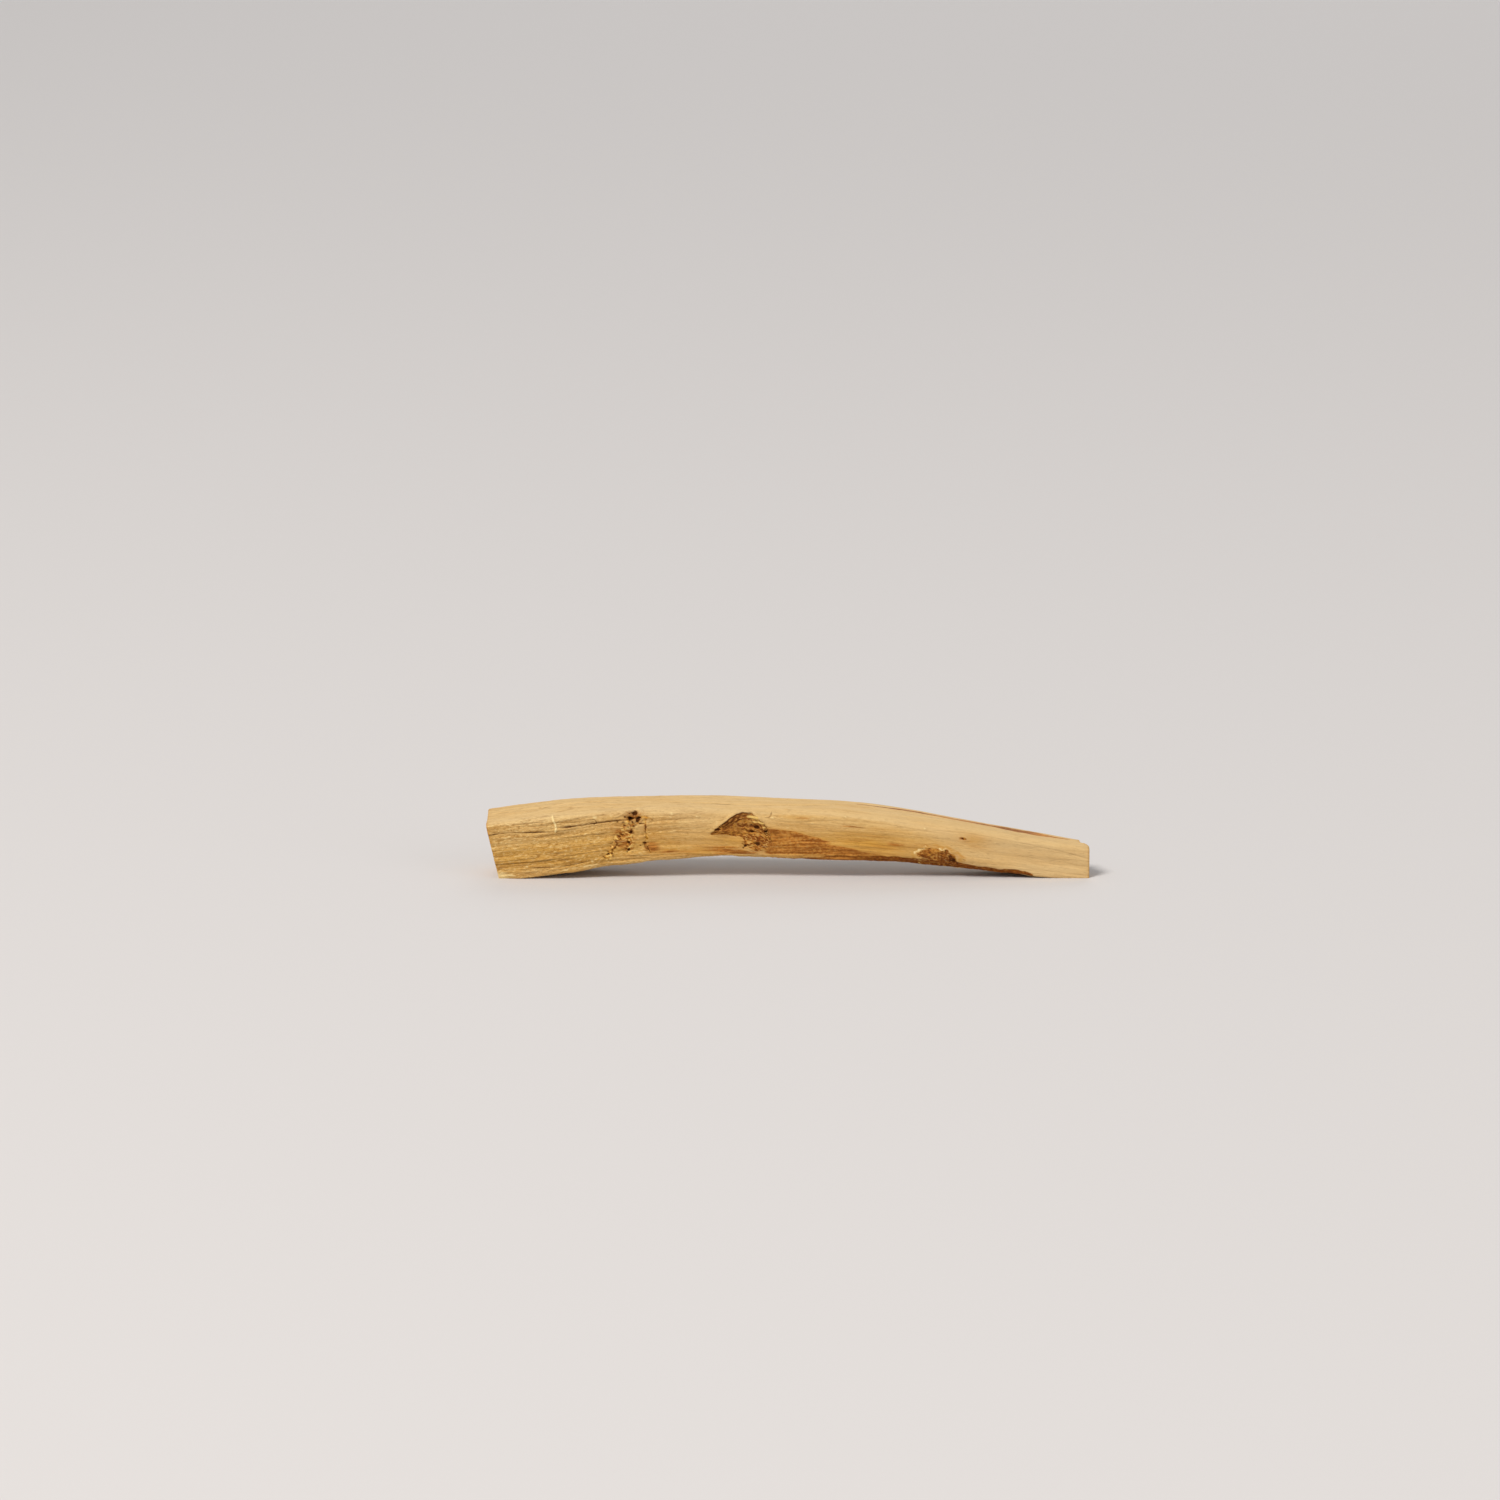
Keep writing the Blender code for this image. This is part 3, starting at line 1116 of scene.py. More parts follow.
class WoodGrain:
    """The patterns in the wood and the marks on it, as numbers inside one material."""

    def __init__(self, tree: NodeTree) -> None:
        """Reads the mesh's attributes and draws every noise out along the grain.

        Args:
            tree: the material's tree.
        """
        self.tree = tree
        settings = {"attribute_type": "GEOMETRY", "attribute_name": "grain"}
        self.places = tree.node("ShaderNodeAttribute", settings, {}).outputs["Vector"]
        self.mark = {mark: tree.attribute(mark.value) for mark in Mark}
        self.tone = self.noise(0.05, 0.30, (0.0, 0.0, 0.0))
        self.warmth = self.noise(0.09, 0.42, (4.0, 9.0, 2.0))
        self.band = self.noise(0.04, 0.95, (3.0, 1.0, 7.0))
        self.streak = self.noise(0.12, 3.0, (5.0, 2.0, 1.0), 4.0, 0.6)
        self.thread = self.noise(0.09, 2.6, (9.0, 7.0, 3.0), 2.0)
        self.fibre = self.noise(0.6, 11.0, (1.0, 4.0, 2.0), 3.0, 0.6)
        self.pore = self.noise(0.9, 7.5, (8.0, 3.0, 9.0), 2.0)
        self.grit = self.noise(1.8, 5.6, (2.0, 6.0, 4.0), 2.0)
        self.speck = self.noise(2.0, 2.9, (6.0, 5.0, 8.0), 2.0)
        self.strand = self.noise(0.16, 4.6, (7.0, 8.0, 5.0), 3.0, 0.6)
        self.ragged = (self.grit - 0.5) * 0.55 + (self.streak - 0.5) * 0.35

    def noise(
        self, along: float, across: float, shift: Color, detail: float = 3.0, rough: float = 0.5
    ) -> Number:
        """Noise with so many cells to the millimetre along and across the grain."""
        return self.tree.noise(self.tree.stretch(self.places, (along, across, across), shift), detail, rough)

    def rings(self, width: float) -> Number:
        """Growth rings of a width in millimetres: a wave of the distance from the heart of the trunk.

        Args:
            width: the width of a year's ring.

        Returns:
            How late in its year the wood at a place grew, from 0 to 1.
        """
        parts = self.tree.node("ShaderNodeSeparateXYZ", {}, {"Vector": self.places}).outputs
        beside = Number(self.tree, parts["Y"]) - HEART[0]
        over = Number(self.tree, parts["Z"]) - HEART[1]
        distance = (beside * beside + over * over).math("SQRT")
        return (distance * (2 * math.pi / width) + self.band * 3.0).math("SINE").step(-0.2, 1.0)


@dataclass(frozen=True)
class WoodFinish:
    """Raw palo santo: honey wood with fine streaks, amber resin, dark scars and warm end grain.

    Colours are linear. Lengths are in millimetres, but the bump's distance in metres.
    """

    name: str = "palo_santo_wood"
    honey: Color = (0.605, 0.345, 0.088)
    straw: Color = (0.690, 0.455, 0.195)
    tan: Color = (0.450, 0.218, 0.045)
    umber: Color = (0.250, 0.098, 0.014)
    gold: Color = (0.570, 0.270, 0.034)
    orange: Color = (0.430, 0.160, 0.022)
    amber: Color = (0.225, 0.066, 0.009)
    russet: Color = (0.510, 0.200, 0.036)
    scar: Color = (0.205, 0.052, 0.006)
    bark: Color = (0.100, 0.028, 0.004)
    char: Color = (0.062, 0.015, 0.002)
    fleck: Color = (0.840, 0.560, 0.170)
    cream: Color = (0.870, 0.665, 0.315)
    ash: Color = (0.680, 0.485, 0.245)
    end_light: Color = (0.620, 0.385, 0.170)
    end_dark: Color = (0.440, 0.230, 0.080)
    ring_width: float = 0.95
    roughness: float = 0.6
    shine: float = 0.05
    bump_strength: float = 0.8
    bump_distance: float = 0.00008

    def material(self) -> bpy.types.Material:
        """Builds the material from the grain attribute and the marks.

        Returns:
            The material.
        """
        material = bpy.data.materials.new(self.name)
        tree = NodeTree(material)
        wood = WoodGrain(tree)
        ring = wood.rings(self.ring_width)
        pits = wood.mark[Mark.SPECK] * wood.speck.step(0.58, 0.64)
        color = self.bare(tree, wood, ring)
        color = self.resin(tree, wood, color)
        color = tree.blend(wood.mark[Mark.SAWN], color, self.sawn(tree, wood, ring))
        color = self.scars(tree, wood, color, pits)

        torn = wood.mark[Mark.TORN]
        rough = self.roughness + (wood.fibre - 0.5) * 0.3 + torn * 0.14 - wood.mark[Mark.RESIN] * 0.16
        height = wood.streak * 0.5 + wood.fibre * 0.5 + wood.strand * torn * 0.9
        height = height + wood.grit * wood.mark[Mark.GRIT] * 0.9
        height = height - wood.pore.step(0.58, 0.72) * 0.5 - pits * 1.2
        bump_sockets = {"Strength": self.bump_strength, "Distance": self.bump_distance, "Height": height}
        bump = tree.node("ShaderNodeBump", {}, bump_sockets)
        shader_sockets = {
            "Base Color": color,
            "Roughness": rough.clamped(),
            "Specular IOR Level": self.shine,
            "Normal": bump.outputs["Normal"],
        }
        shader = tree.node("ShaderNodeBsdfPrincipled", {}, shader_sockets)
        tree.node("ShaderNodeOutputMaterial", {}, {"Surface": shader.outputs["BSDF"]})
        return material

    def bare(self, tree: NodeTree, wood: WoodGrain, ring: Number) -> Socket:
        """Split wood: honey to straw by a slow noise, with streaks, and with grit and pores where it is torn.

        Args:
            tree: the material's tree.
            wood: the wood's patterns.
            ring: the growth rings.

        Returns:
            The colour.
        """
        torn, gritty, straw = (wood.mark[mark] for mark in (Mark.TORN, Mark.GRIT, Mark.STRAW))
        line = (1 - ((wood.thread - 0.5) * 2).math("ABSOLUTE")).step(0.94, 0.99)
        return tree.coats(
            self.honey,
            # The straw mark holds painted light from above as well as paler wood.
            ((straw + (wood.tone - 0.5) * 1.5).clamped(), self.straw),
            (wood.warmth.step(0.48, 0.74) * 0.26, self.gold),
            (wood.band.step(0.45, 0.75) * (0.18 + torn * 0.3), self.tan),
            (ring * 0.11, self.tan),
            (wood.streak.step(0.50, 0.78) * (0.14 + torn * 0.36), self.tan),
            (line * (0.10 + torn * 0.34), self.umber),
            (wood.fibre.step(0.56, 0.74) * (0.14 + torn * 0.2), self.tan),
            (wood.strand.step(0.56, 0.70) * torn * 0.55, self.cream),
            (wood.strand.step(0.44, 0.33) * (0.08 + torn * 0.62), self.umber),
            (wood.grit.step(0.58, 0.66) * (0.05 + gritty * 0.75), self.cream),
            (wood.grit.step(0.42, 0.35) * (0.05 + gritty * 0.85), self.umber),
            (wood.pore.step(0.62, 0.70) * (0.14 + gritty * 0.45), self.umber),
            # Ash where the straw mark is strongest: near the tip, and on the top face as painted light.
            (((straw - 0.7) * 1.3).clamped(), self.ash),
        )

    def resin(self, tree: NodeTree, wood: WoodGrain, color: Socket) -> Socket:
        """Golden glows and red-brown resin over a colour.

        Args:
            tree: the material's tree.
            wood: the wood's patterns.
            color: the colour below.

        Returns:
            The colour.
        """
        glow = tree.blend(wood.streak.step(0.42, 0.66) * 0.8, self.gold, self.orange)
        body = tree.coats(
            self.amber,
            ((wood.streak * 0.7 + wood.fibre * 0.3).step(0.60, 0.42), self.russet),
            (wood.grit.step(0.60, 0.68) * 0.4, self.gold),
            (wood.speck.step(0.56, 0.64) * 0.4, self.scar),
            (wood.pore.step(0.60, 0.68) * 0.6, self.scar),
            ((wood.mark[Mark.DEEP] * 0.9 + wood.ragged).step(0.3, 0.8) * 0.8, self.scar),
        )
        cover = (wood.mark[Mark.RESIN] * 0.95 + wood.ragged).step(0.24, 0.66)
        return tree.coats(
            color,
            (wood.mark[Mark.GOLD] * (0.45 + wood.streak * 0.7), glow),
            (cover * 0.94, body),
        )

    def sawn(self, tree: NodeTree, wood: WoodGrain, ring: Number) -> Socket:
        """End grain: rings, pale grit and pores.

        Args:
            tree: the material's tree.
            wood: the wood's patterns.
            ring: the growth rings.

        Returns:
            The colour.
        """
        return tree.coats(
            self.end_light,
            (ring * 0.5 + wood.band * 0.2, self.end_dark),
            (wood.grit.step(0.55, 0.7) * 0.3, self.cream),
            (wood.pore.step(0.57, 0.66) * 0.6, self.umber),
        )

    def scars(self, tree: NodeTree, wood: WoodGrain, color: Socket, pits: Number) -> Socket:
        """Torn scars, pale flecks and painted highlights, specks, thin dark lines, and near-black painted
        shade and dark flecks over a colour.

        Args:
            tree: the material's tree.
            wood: the wood's patterns.
            color: the colour below.
            pits: how dark the small pits among the specks are.

        Returns:
            The colour.
        """
        mark, speck, grit, deep = wood.mark, wood.speck, wood.grit, wood.mark[Mark.DEEP]
        torn_fibre = (wood.streak * 0.9 + grit * 0.5 + wood.fibre * 0.4 - 0.4 - deep * 0.12).step(0.38, 0.60)
        golden = (wood.warmth.step(0.46, 0.58) * 0.8 + wood.band.step(0.5, 0.6) * 0.5) * (1 - deep)
        darkened = (deep - 0.5).clamped() * 0.9
        lighter = tree.coats(self.russet, (golden * 0.85, self.gold), (darkened, self.scar))
        wound = tree.coats(
            self.scar,
            (torn_fibre, lighter),
            (speck.step(0.54, 0.62) * 0.45, self.bark),
            (speck.step(0.46, 0.40) * 0.4, self.orange),
            (grit.step(0.57, 0.65) * (0.6 - deep * 0.45), self.gold),
        )
        # Pale marks: paler wood, and painted highlights.
        pale = tree.blend((mark[Mark.SCAR] * 1.5).clamped(), self.cream, self.fleck)
        color = tree.coats(
            color,
            ((mark[Mark.SCAR] + wood.ragged).step(0.26, 0.62) * 0.96, wound),
            ((mark[Mark.PALE] * 0.9 + wood.ragged * 0.7).step(0.16, 0.60) * 0.88, pale),
            (mark[Mark.SPECK] * speck.step(0.47, 0.41) * 0.8, self.fleck),
            (pits * 0.85, self.char),
        )
        for line, ink in ((Line.LEDGE, self.umber), (Line.CHECK, self.bark), (Line.RIM, self.bark)):
            crossing, shade = (tree.attribute(line.value + end) for end in ("_crossing", "_shade"))
            away = crossing.math("ABSOLUTE") * LINE_REACH + (wood.fibre - 0.5) * 0.9
            color = tree.blend(away.step(1.15, 0.35) * shade, color, ink)
        # Near-black: painted shade in the pits and beside the nick, and the small scar's dark flecks.
        black_and_painted_shade = (mark[Mark.BLACK_AND_PAINTED_SHADE] + wood.ragged * 2.4).step(0.34, 0.60)
        return tree.blend(black_and_painted_shade * 0.94, color, self.char)


@dataclass(frozen=True)
class TornFibres:
    """Slivers half torn off by the splitting: thin strips along the grain that lift towards a free end.

    Pairs are the least and the most. Sizes are in millimetres.
    """

    count: int = 420
    length: Pair = (0.8, 5.0)
    width: Pair = (0.05, 0.15)
    lift: Pair = (0.02, 0.26)
    drift: float = 5.0
    root_depth: float = 0.05
    flatness: float = 0.7
    scar_share: float = 0.25
    root_margin: float = 1.0
    end_margin: float = 0.3
    grain_shift: float = 3.1
    torn: float = 0.4
    sections: int = 12
    seed: int = 5

    def build(
        self, skin: Skin, side: Array, normals: tuple[Array, Array], finish: bpy.types.Material
    ) -> Object:
        """Makes every sliver, as one mesh of tapered diamond sections.

        Args:
            skin: the carved skin, whose torn places the slivers grow from.
            side: places of the skin's points, in millimetres.
            normals: the skin's outward normal: its part towards the back and its part upwards.
            finish: the wood.

        Returns:
            The slivers' object.
        """
        random = np.random.default_rng(self.seed)
        rows, columns = skin.run.shape
        stick_length = skin.form.length
        weight = skin.marks[Mark.TORN] ** 3 + self.scar_share * skin.marks[Mark.SCAR]
        weight *= within(self.root_margin, stick_length - self.root_margin, 2.0, skin.run)
        weight *= np.gradient(skin.run, axis=0)
        root = random.choice(rows * columns, self.count, p=(weight / weight.sum()).reshape(-1))
        root_row, root_column = np.divmod(root, columns)
        length, width, lift = (self.spread(random, sizes) for sizes in (self.length, self.width, self.lift))
        way = random.choice((-1.0, 1.0), self.count)
        drift = self.drift * random.uniform(-1, 1, (self.count, 1))
        t = np.linspace(0.0, 1.0, self.sections)[None, :]
        run = skin.run[root_row, root_column][:, None] + way[:, None] * length[:, None] * t
        run = np.clip(run, self.end_margin, stick_length - self.end_margin)
        row = np.interp(run, skin.run[:, 0], np.arange(rows))
        column = root_column[:, None] + drift * t**2
        back, up = (self.read(part, row, column) for part in normals)
        out = np.stack([np.zeros_like(row), back, up], axis=-1)
        beside = np.stack([np.zeros_like(row), -up, back], axis=-1)
        taper = np.sqrt(np.clip(1 - t, 0.02, 1)) * (0.5 + 0.5 * step(0.0, 0.3, t))
        half = (width[:, None] / 2 * taper)[..., None]
        height = lift[:, None] * t**2.2 - self.root_depth * (1 - t)
        middle = self.read(side, row, column) + out * height[..., None]
        offsets = (beside * half, out * self.flatness * half)
        corners = np.stack([middle + sign * offset for sign in (1, -1) for offset in offsets], axis=2)
        corners[..., 2] = np.maximum(corners[..., 2], 0.0)
        mesh = self.mesh(corners * MM)
        grain = self.read(skin.grain, row, column)[:, :, None, :] + (0, 0, self.grain_shift)
        write_vectors(mesh, "grain", grain + corners * (0, 0.5, 0.5))
        straw = np.repeat(random.uniform(0.2, 1.0, self.count), self.sections * 4)
        write_numbers(mesh, Mark.STRAW.value, [straw])
        write_numbers(mesh, Mark.TORN.value, [np.full(len(straw), self.torn)])
        return add_object("torn_fibres", mesh, finish)

    def spread(self, random: np.random.Generator, sizes: Pair) -> Array:
        """One size for each sliver, with small ones more common: low + (high - low) u^2."""
        return sizes[0] + (sizes[1] - sizes[0]) * random.random(self.count) ** 2

    def read(self, grid: Array, row: Array, column: Array) -> Array:
        """A grid's values between its points, by straight blending. The grid closes round its columns.

        Args:
            grid: an array of rows by columns, of numbers or of vectors.
            row: places down the rows, in whole and part rows.
            column: places across the columns.

        Returns:
            The value at each place.
        """
        low_row = np.clip(np.floor(row).astype(int), 0, grid.shape[0] - 2)
        low_column = np.floor(column).astype(int)
        down, across = row - low_row, column - low_column
        if grid.ndim == 3:
            down, across = down[..., None], across[..., None]
        left, right = low_column % grid.shape[1], (low_column + 1) % grid.shape[1]
        upper = grid[low_row, left] * (1 - across) + grid[low_row, right] * across
        lower = grid[low_row + 1, left] * (1 - across) + grid[low_row + 1, right] * across
        return upper * (1 - down) + lower * down

    def mesh(self, corners: Array) -> Mesh:
        """Joins each sliver's sections into a closed tube with its faces outwards.

        Args:
            corners: slivers by sections by four corners by three, in metres.

        Returns:
            The mesh.
        """
        count, sections = corners.shape[:2]
        index = np.arange(count * sections * 4).reshape(count, sections, 4)
        after = np.roll(index, -1, axis=2)
        sides = np.stack([index[:, :-1], after[:, :-1], after[:, 1:], index[:, 1:]], axis=-1)
        first, across, along = (corners[:, 0, 0], corners[:, 0, 1] - corners[:, 0, 0], corners[:, -1, 0])
        facing = np.cross(across, corners[:, 0, 2] - first)
        inward = np.einsum("nk,nk->n", facing, along - first) > 0
        sides[inward] = sides[inward][..., ::-1]
        ends = np.stack([index[:, 0], index[:, -1, ::-1]], axis=1)
        ends[inward] = ends[inward][..., ::-1]
        faces = np.concatenate([sides.reshape(-1, 4), ends[:, :, ::-1].reshape(-1, 4)])
        mesh = bpy.data.meshes.new("torn_fibres")
        mesh.from_pydata(corners.reshape(-1, 3), [], faces.tolist())
        mesh.update()
        return mesh


@dataclass
class StickSkin:
    """The stick itself: one closed skin with both sawn ends, as a grid of rings.

    Sizes are in millimetres. Rings stand closer where the scars are, and closest at the worn end edges.
    """

    form: StickForm = field(default_factory=StickForm)
    finish: WoodFinish = field(default_factory=WoodFinish)
    end: SawnEnd = field(default_factory=SawnEnd)
    split: SplitSkin = field(default_factory=SplitSkin)
    fibres: TornFibres = field(default_factory=TornFibres)
    rings: int = 350
    ring_points: int = 248
    cap_rings: int = 24
    worn_radius: float = 0.26
    edge_rings: tuple[float, ...] = (0.0, 0.02, 0.06, 0.13, 0.22, 0.34)
    # Where rings stand closer: millimetres along, how far that reaches, and how much closer.
    crowds: tuple[tuple[float, float, float], ...] = (
        (42.0, 8.0, 0.9), (23.0, 4.0, 0.7), (74.5, 4.0, 0.6), (0.0, 2.5, 0.8), (98.0, 2.5, 0.8),
        (11.2, 0.7, 1.6),
    )
    front_crowding: float = 0.35
    end_start: float = 5.0
    crack_shade: float = 0.85
    nick_run: float = 11.2
    nick_heights: Pair = (0.36, 1.0)
    seed: int = 27
    map_name: str = "OFBake"
    map_scale: float = 78.0
    map_margin: float = 0.01
    strip_length: float = 0.8
    strip_width: float = 0.47
    end_u: float = 0.91
    chips: tuple[tuple[float, float, float], ...] = (
        (17.9, 0.76, 0.34), (30.4, 0.72, 0.26), (25.0, 0.9, 0.3), (9.4, 0.22, 0.18), (9.8, -0.28, 0.18),
        (5.2, -0.62, 0.22), (16.2, -0.72, 0.24), (34.4, 0.62, 0.18), (53.0, 0.45, 0.16), (71.2, 0.66, 0.2),
        (24.35, 0.70, 0.14), (23.0, -0.36, 0.16), (58.5, 0.75, 0.16), (46.6, 0.62, 0.2), (82.6, 0.5, 0.14),
    )
    eyes: tuple[Eye, ...] = (
        Eye(23.6, 0.62, 2.2, 1.5, 0.75),
        Eye(42.0, 0.15, 6.5, 3.0, 0.8),
        Eye(73.5, -0.6, 4.2, 1.7, 0.7),
        Eye(77.2, 0.48, 1.8, 1.0, 0.75),
    )

    def build(self, low: Vector, high: Vector) -> tuple[Object, Object]:
        """Makes the skin's mesh, fitted to the solid's box, the slivers on it, and dresses both.

        Args:
            low: the solid's lowest corner, in metres.
            high: its highest corner.

        Returns:
            The stick and its slivers.
        """
        along, angle = np.meshgrid(self.ring_places(), self.point_angles(), indexing="ij")
        skin = Skin(self.form, GrainNoise(self.seed), along, angle)
        self.carve(skin)
        side = self.place(skin)
        ends = [self.cap(skin, side, row) for row in (0, -1)]
        points = np.concatenate([side.reshape(-1, 3)] + [end[0] for end in ends])
        points[:, 2] = np.maximum(points[:, 2], 0.0)
        middle = (points.min(axis=0) + points.max(axis=0)) / 2
        target = np.array((low + high) / 2) / MM
        shift = (target - middle) * (1, 1, 0)
        points += shift

        mesh = self.mesh(points * MM, along)
        grain = np.concatenate([skin.grain.reshape(-1, 3)] + [end[1] for end in ends])
        write_vectors(mesh, "grain", grain)
        end_count = len(ends[0][0])
        for mark, strength in skin.marks.items():
            at_ends = float(mark is Mark.SAWN)
            write_numbers(mesh, mark.value, [strength.reshape(-1), np.full(2 * end_count, at_ends)])
        for line in Line:
            cracked = line is Line.CHECK
            crossing = [end[2] if cracked else np.ones(end_count) for end in ends]
            shade = [end[3] if cracked else np.zeros(end_count) for end in ends]
            write_numbers(mesh, line.value + "_crossing", [skin.crossings[line].reshape(-1), *crossing])
            write_numbers(mesh, line.value + "_shade", [skin.shades[line].reshape(-1), *shade])
        wood = self.finish.material()
        stick = add_object("palo_santo_stick", mesh, wood)
        return stick, self.fibres.build(skin, side + shift, self.normals(skin), wood)

    def ring_places(self) -> Array:
        """Shares of the length at which the rings stand, read back from a running sum of how close they are.

        Returns:
            The shares, from 0 to 1.
        """
        fine = np.linspace(0.0, 1.0, 2001)
        run = fine * self.form.length
        close = 1 + sum(closer * bell((run - place) / reach) for place, reach, closer in self.crowds)
        walked = np.concatenate([[0.0], np.cumsum((close[1:] + close[:-1]) / 2)])
        edge = np.array(self.edge_rings) / self.form.length
        inner = self.rings - 2 * len(edge)
        middle = np.interp(np.linspace(0, walked[-1], inner + 2)[1:-1], walked, fine)
        start = edge[-1] + 0.002
        middle = start + (middle - middle[0]) / (middle[-1] - middle[0]) * (1 - 2 * start)
        return np.concatenate([edge, middle, 1 - edge[::-1]])

    def point_angles(self) -> Array:
        """Angles at even steps round the middle ring, a little closer on the front.

        Returns:
            The angles in radians, from 0.
        """
        fine = np.linspace(0, 2 * math.pi, 2881)
        out = self.form.reach(np.full_like(fine, 0.5), fine)
        steps = np.hypot(np.diff(out * np.cos(fine)), np.diff(out * np.sin(fine)))
        steps *= 1 + self.front_crowding * side_weight((fine[1:] + fine[:-1]) / 2, Side.FRONT)
        walked = np.concatenate([[0.0], np.cumsum(steps)])
        return np.interp(np.arange(self.ring_points) / self.ring_points * walked[-1], walked, fine)

    def carve(self, skin: Skin) -> None:
        """Bends the grain round the eyes, then lays every kind of relief, stain and painted light and shade
        on the skin.

        Args:
            skin: the skin to carve.
        """
        for eye in self.eyes:
            eye.bend(skin)
        self.split.carve(skin)
        self.stain(skin)
        chips = (Chip(*sizes) for sizes in self.chips)
        for part in (BrowScar(), EdgeScar(), *self.checks(), *self.seams(), *self.pits(), *chips):
            part.carve(skin)
        self.wear_and_painted_light(skin)

    def checks(self) -> list[Check]:
        """The long cracks of each side."""
        front, back, top, under = Side.FRONT, Side.BACK, Side.TOP, Side.UNDER
        return [
            Check(front, ((-1.0, 0.50), (2.0, 0.54), (5.0, 0.50), (11.2, 0.42)), 0.14, 0.24, 0.95),
            Check(front, ((11.0, 0.55), (14.0, 0.52), (19.0, 0.56), (23.5, 0.57)), 0.15, 0.24, 0.95),
            Check(front, ((4.0, 0.74), (8.0, 0.78), (11.0, 0.76)), 0.1, 0.12, 0.5),
            Check(front, ((11.4, 0.70), (15.0, 0.66), (18.0, 0.70)), 0.1, 0.12, 0.5),
            Check(front, ((-1.0, -0.45), (6.0, -0.5), (13.0, -0.42)), 0.12, 0.12, 0.4),
            Check(front, ((12.0, 0.14), (17.0, 0.16), (21.0, 0.1)), 0.1, 0.1, 0.4),
            Check(front, ((1.0, -0.66), (5.0, -0.66), (11.0, -0.74), (17.0, -0.7)), 0.13, 0.16, 0.6),
            Check(front, ((26.0, 0.45), (31.0, 0.5), (36.0, 0.55)), 0.12, 0.1, 0.3),
            Check(front, ((47.0, 0.5), (54.6, 0.5), (65.0, 0.4), (71.0, 0.5)), 0.1, 0.08, 0.25),
            Check(front, ((71.0, 0.6), (80.4, 0.74), (90.6, 0.62), (99.0, 0.26)), 0.1, 0.07, 0.2),
            Check(front, ((58.0, -0.15), (66.0, -0.1), (70.0, -0.2)), 0.1, 0.07, 0.22),
            Check(back, ((4.0, 0.1), (20.0, 0.2), (44.0, 0.05)), 0.16, 0.35, 0.7),
            Check(back, ((38.0, -0.3), (55.0, -0.2), (83.0, -0.3)), 0.15, 0.3, 0.65),
            Check(back, ((-1.0, -0.4), (6.0, -0.45), (16.0, -0.35)), 0.15, 0.35, 0.7),
            Check(back, ((70.0, 0.35), (85.0, 0.3), (99.0, 0.35)), 0.14, 0.25, 0.6),
            Check(top, ((-1.0, 0.1), (9.0, 0.0), (21.0, 0.12)), 0.14, 0.22, 0.6),
            Check(top, ((30.0, -0.2), (45.0, -0.3), (58.0, -0.2)), 0.13, 0.15, 0.5),
            Check(top, ((64.0, 0.2), (80.0, 0.1), (92.0, 0.2)), 0.13, 0.18, 0.5),
            Check(under, ((8.0, 0.0), (30.0, -0.1), (46.0, 0.1)), 0.16, 0.3, 0.7),
            Check(under, ((55.0, -0.3), (70.0, -0.2), (90.0, -0.25)), 0.15, 0.25, 0.6),
        ]

    def seams(self) -> list[Seam]:
        """The tears below the branch scar near the butt, and two short ones beside the big scar.

        Returns:
            The seams.
        """
        left = ((23.0, 0.49), (22.1, 0.25), (21.3, 0.02), (20.5, -0.21), (19.8, -0.43), (18.7, -0.66))
        middle = ((23.7, 0.42), (23.3, 0.08), (22.6, -0.05), (22.8, -0.27), (22.5, -0.5))
        right = ((25.9, 0.5), (25.8, 0.06), (25.4, -0.4), (26.0, -0.62))
        return [
            Seam(left, 0.55, 0.16, 1.0, 0.55, 0.85),
            Seam(middle, 0.6, 0.18, 1.0, 0.6, 0.7),
            Seam(right, 0.28, 0.1, 0.7, 0.7, 0.85),
            Seam(((24.9, 0.62), (27.0, 0.56)), 0.45, 0.05, 0.4, 0.55, 0.5),
            Seam(((45.6, 0.60), (46.2, 0.62), (46.5, 0.68), (46.6, 0.78)), 0.12, 0.0, 0.0, 0.55, 0.5),
            Seam(((45.0, 0.1), (45.7, -0.3)), 0.5, 0.1, 0.6, 0.6, 0.7),
        ]

    def pits(self) -> list[Pit]:
        """The dark holes of every scar."""
        return [
            Pit(24.4, 0.78, 0.5, 0.5), Pit(24.8, 0.58, 0.38, 0.45), Pit(23.8, 0.63, 0.32, 0.4),
            Pit(22.8, 0.66, 0.16, 0.2), Pit(22.75, -0.25, 0.2, 0.3), Pit(22.5, -0.47, 0.22, 0.35),
            Pit(23.3, 0.1, 0.18, 0.2), Pit(19.0, -0.56, 0.2, 0.2), Pit(25.25, -0.3, 0.15, 0.15),
            Pit(37.6, 0.1, 0.24, 0.2), Pit(43.9, 0.22, 0.38, 0.3), Pit(43.0, 0.0, 0.24, 0.22),
            Pit(45.2, 0.02, 0.34, 0.35), Pit(43.8, -0.5, 0.3, 0.26), Pit(41.6, -0.58, 0.24, 0.25),
            Pit(75.6, -0.62, 0.4, 0.2), Pit(77.2, 0.47, 0.17, 0.12),
        ]

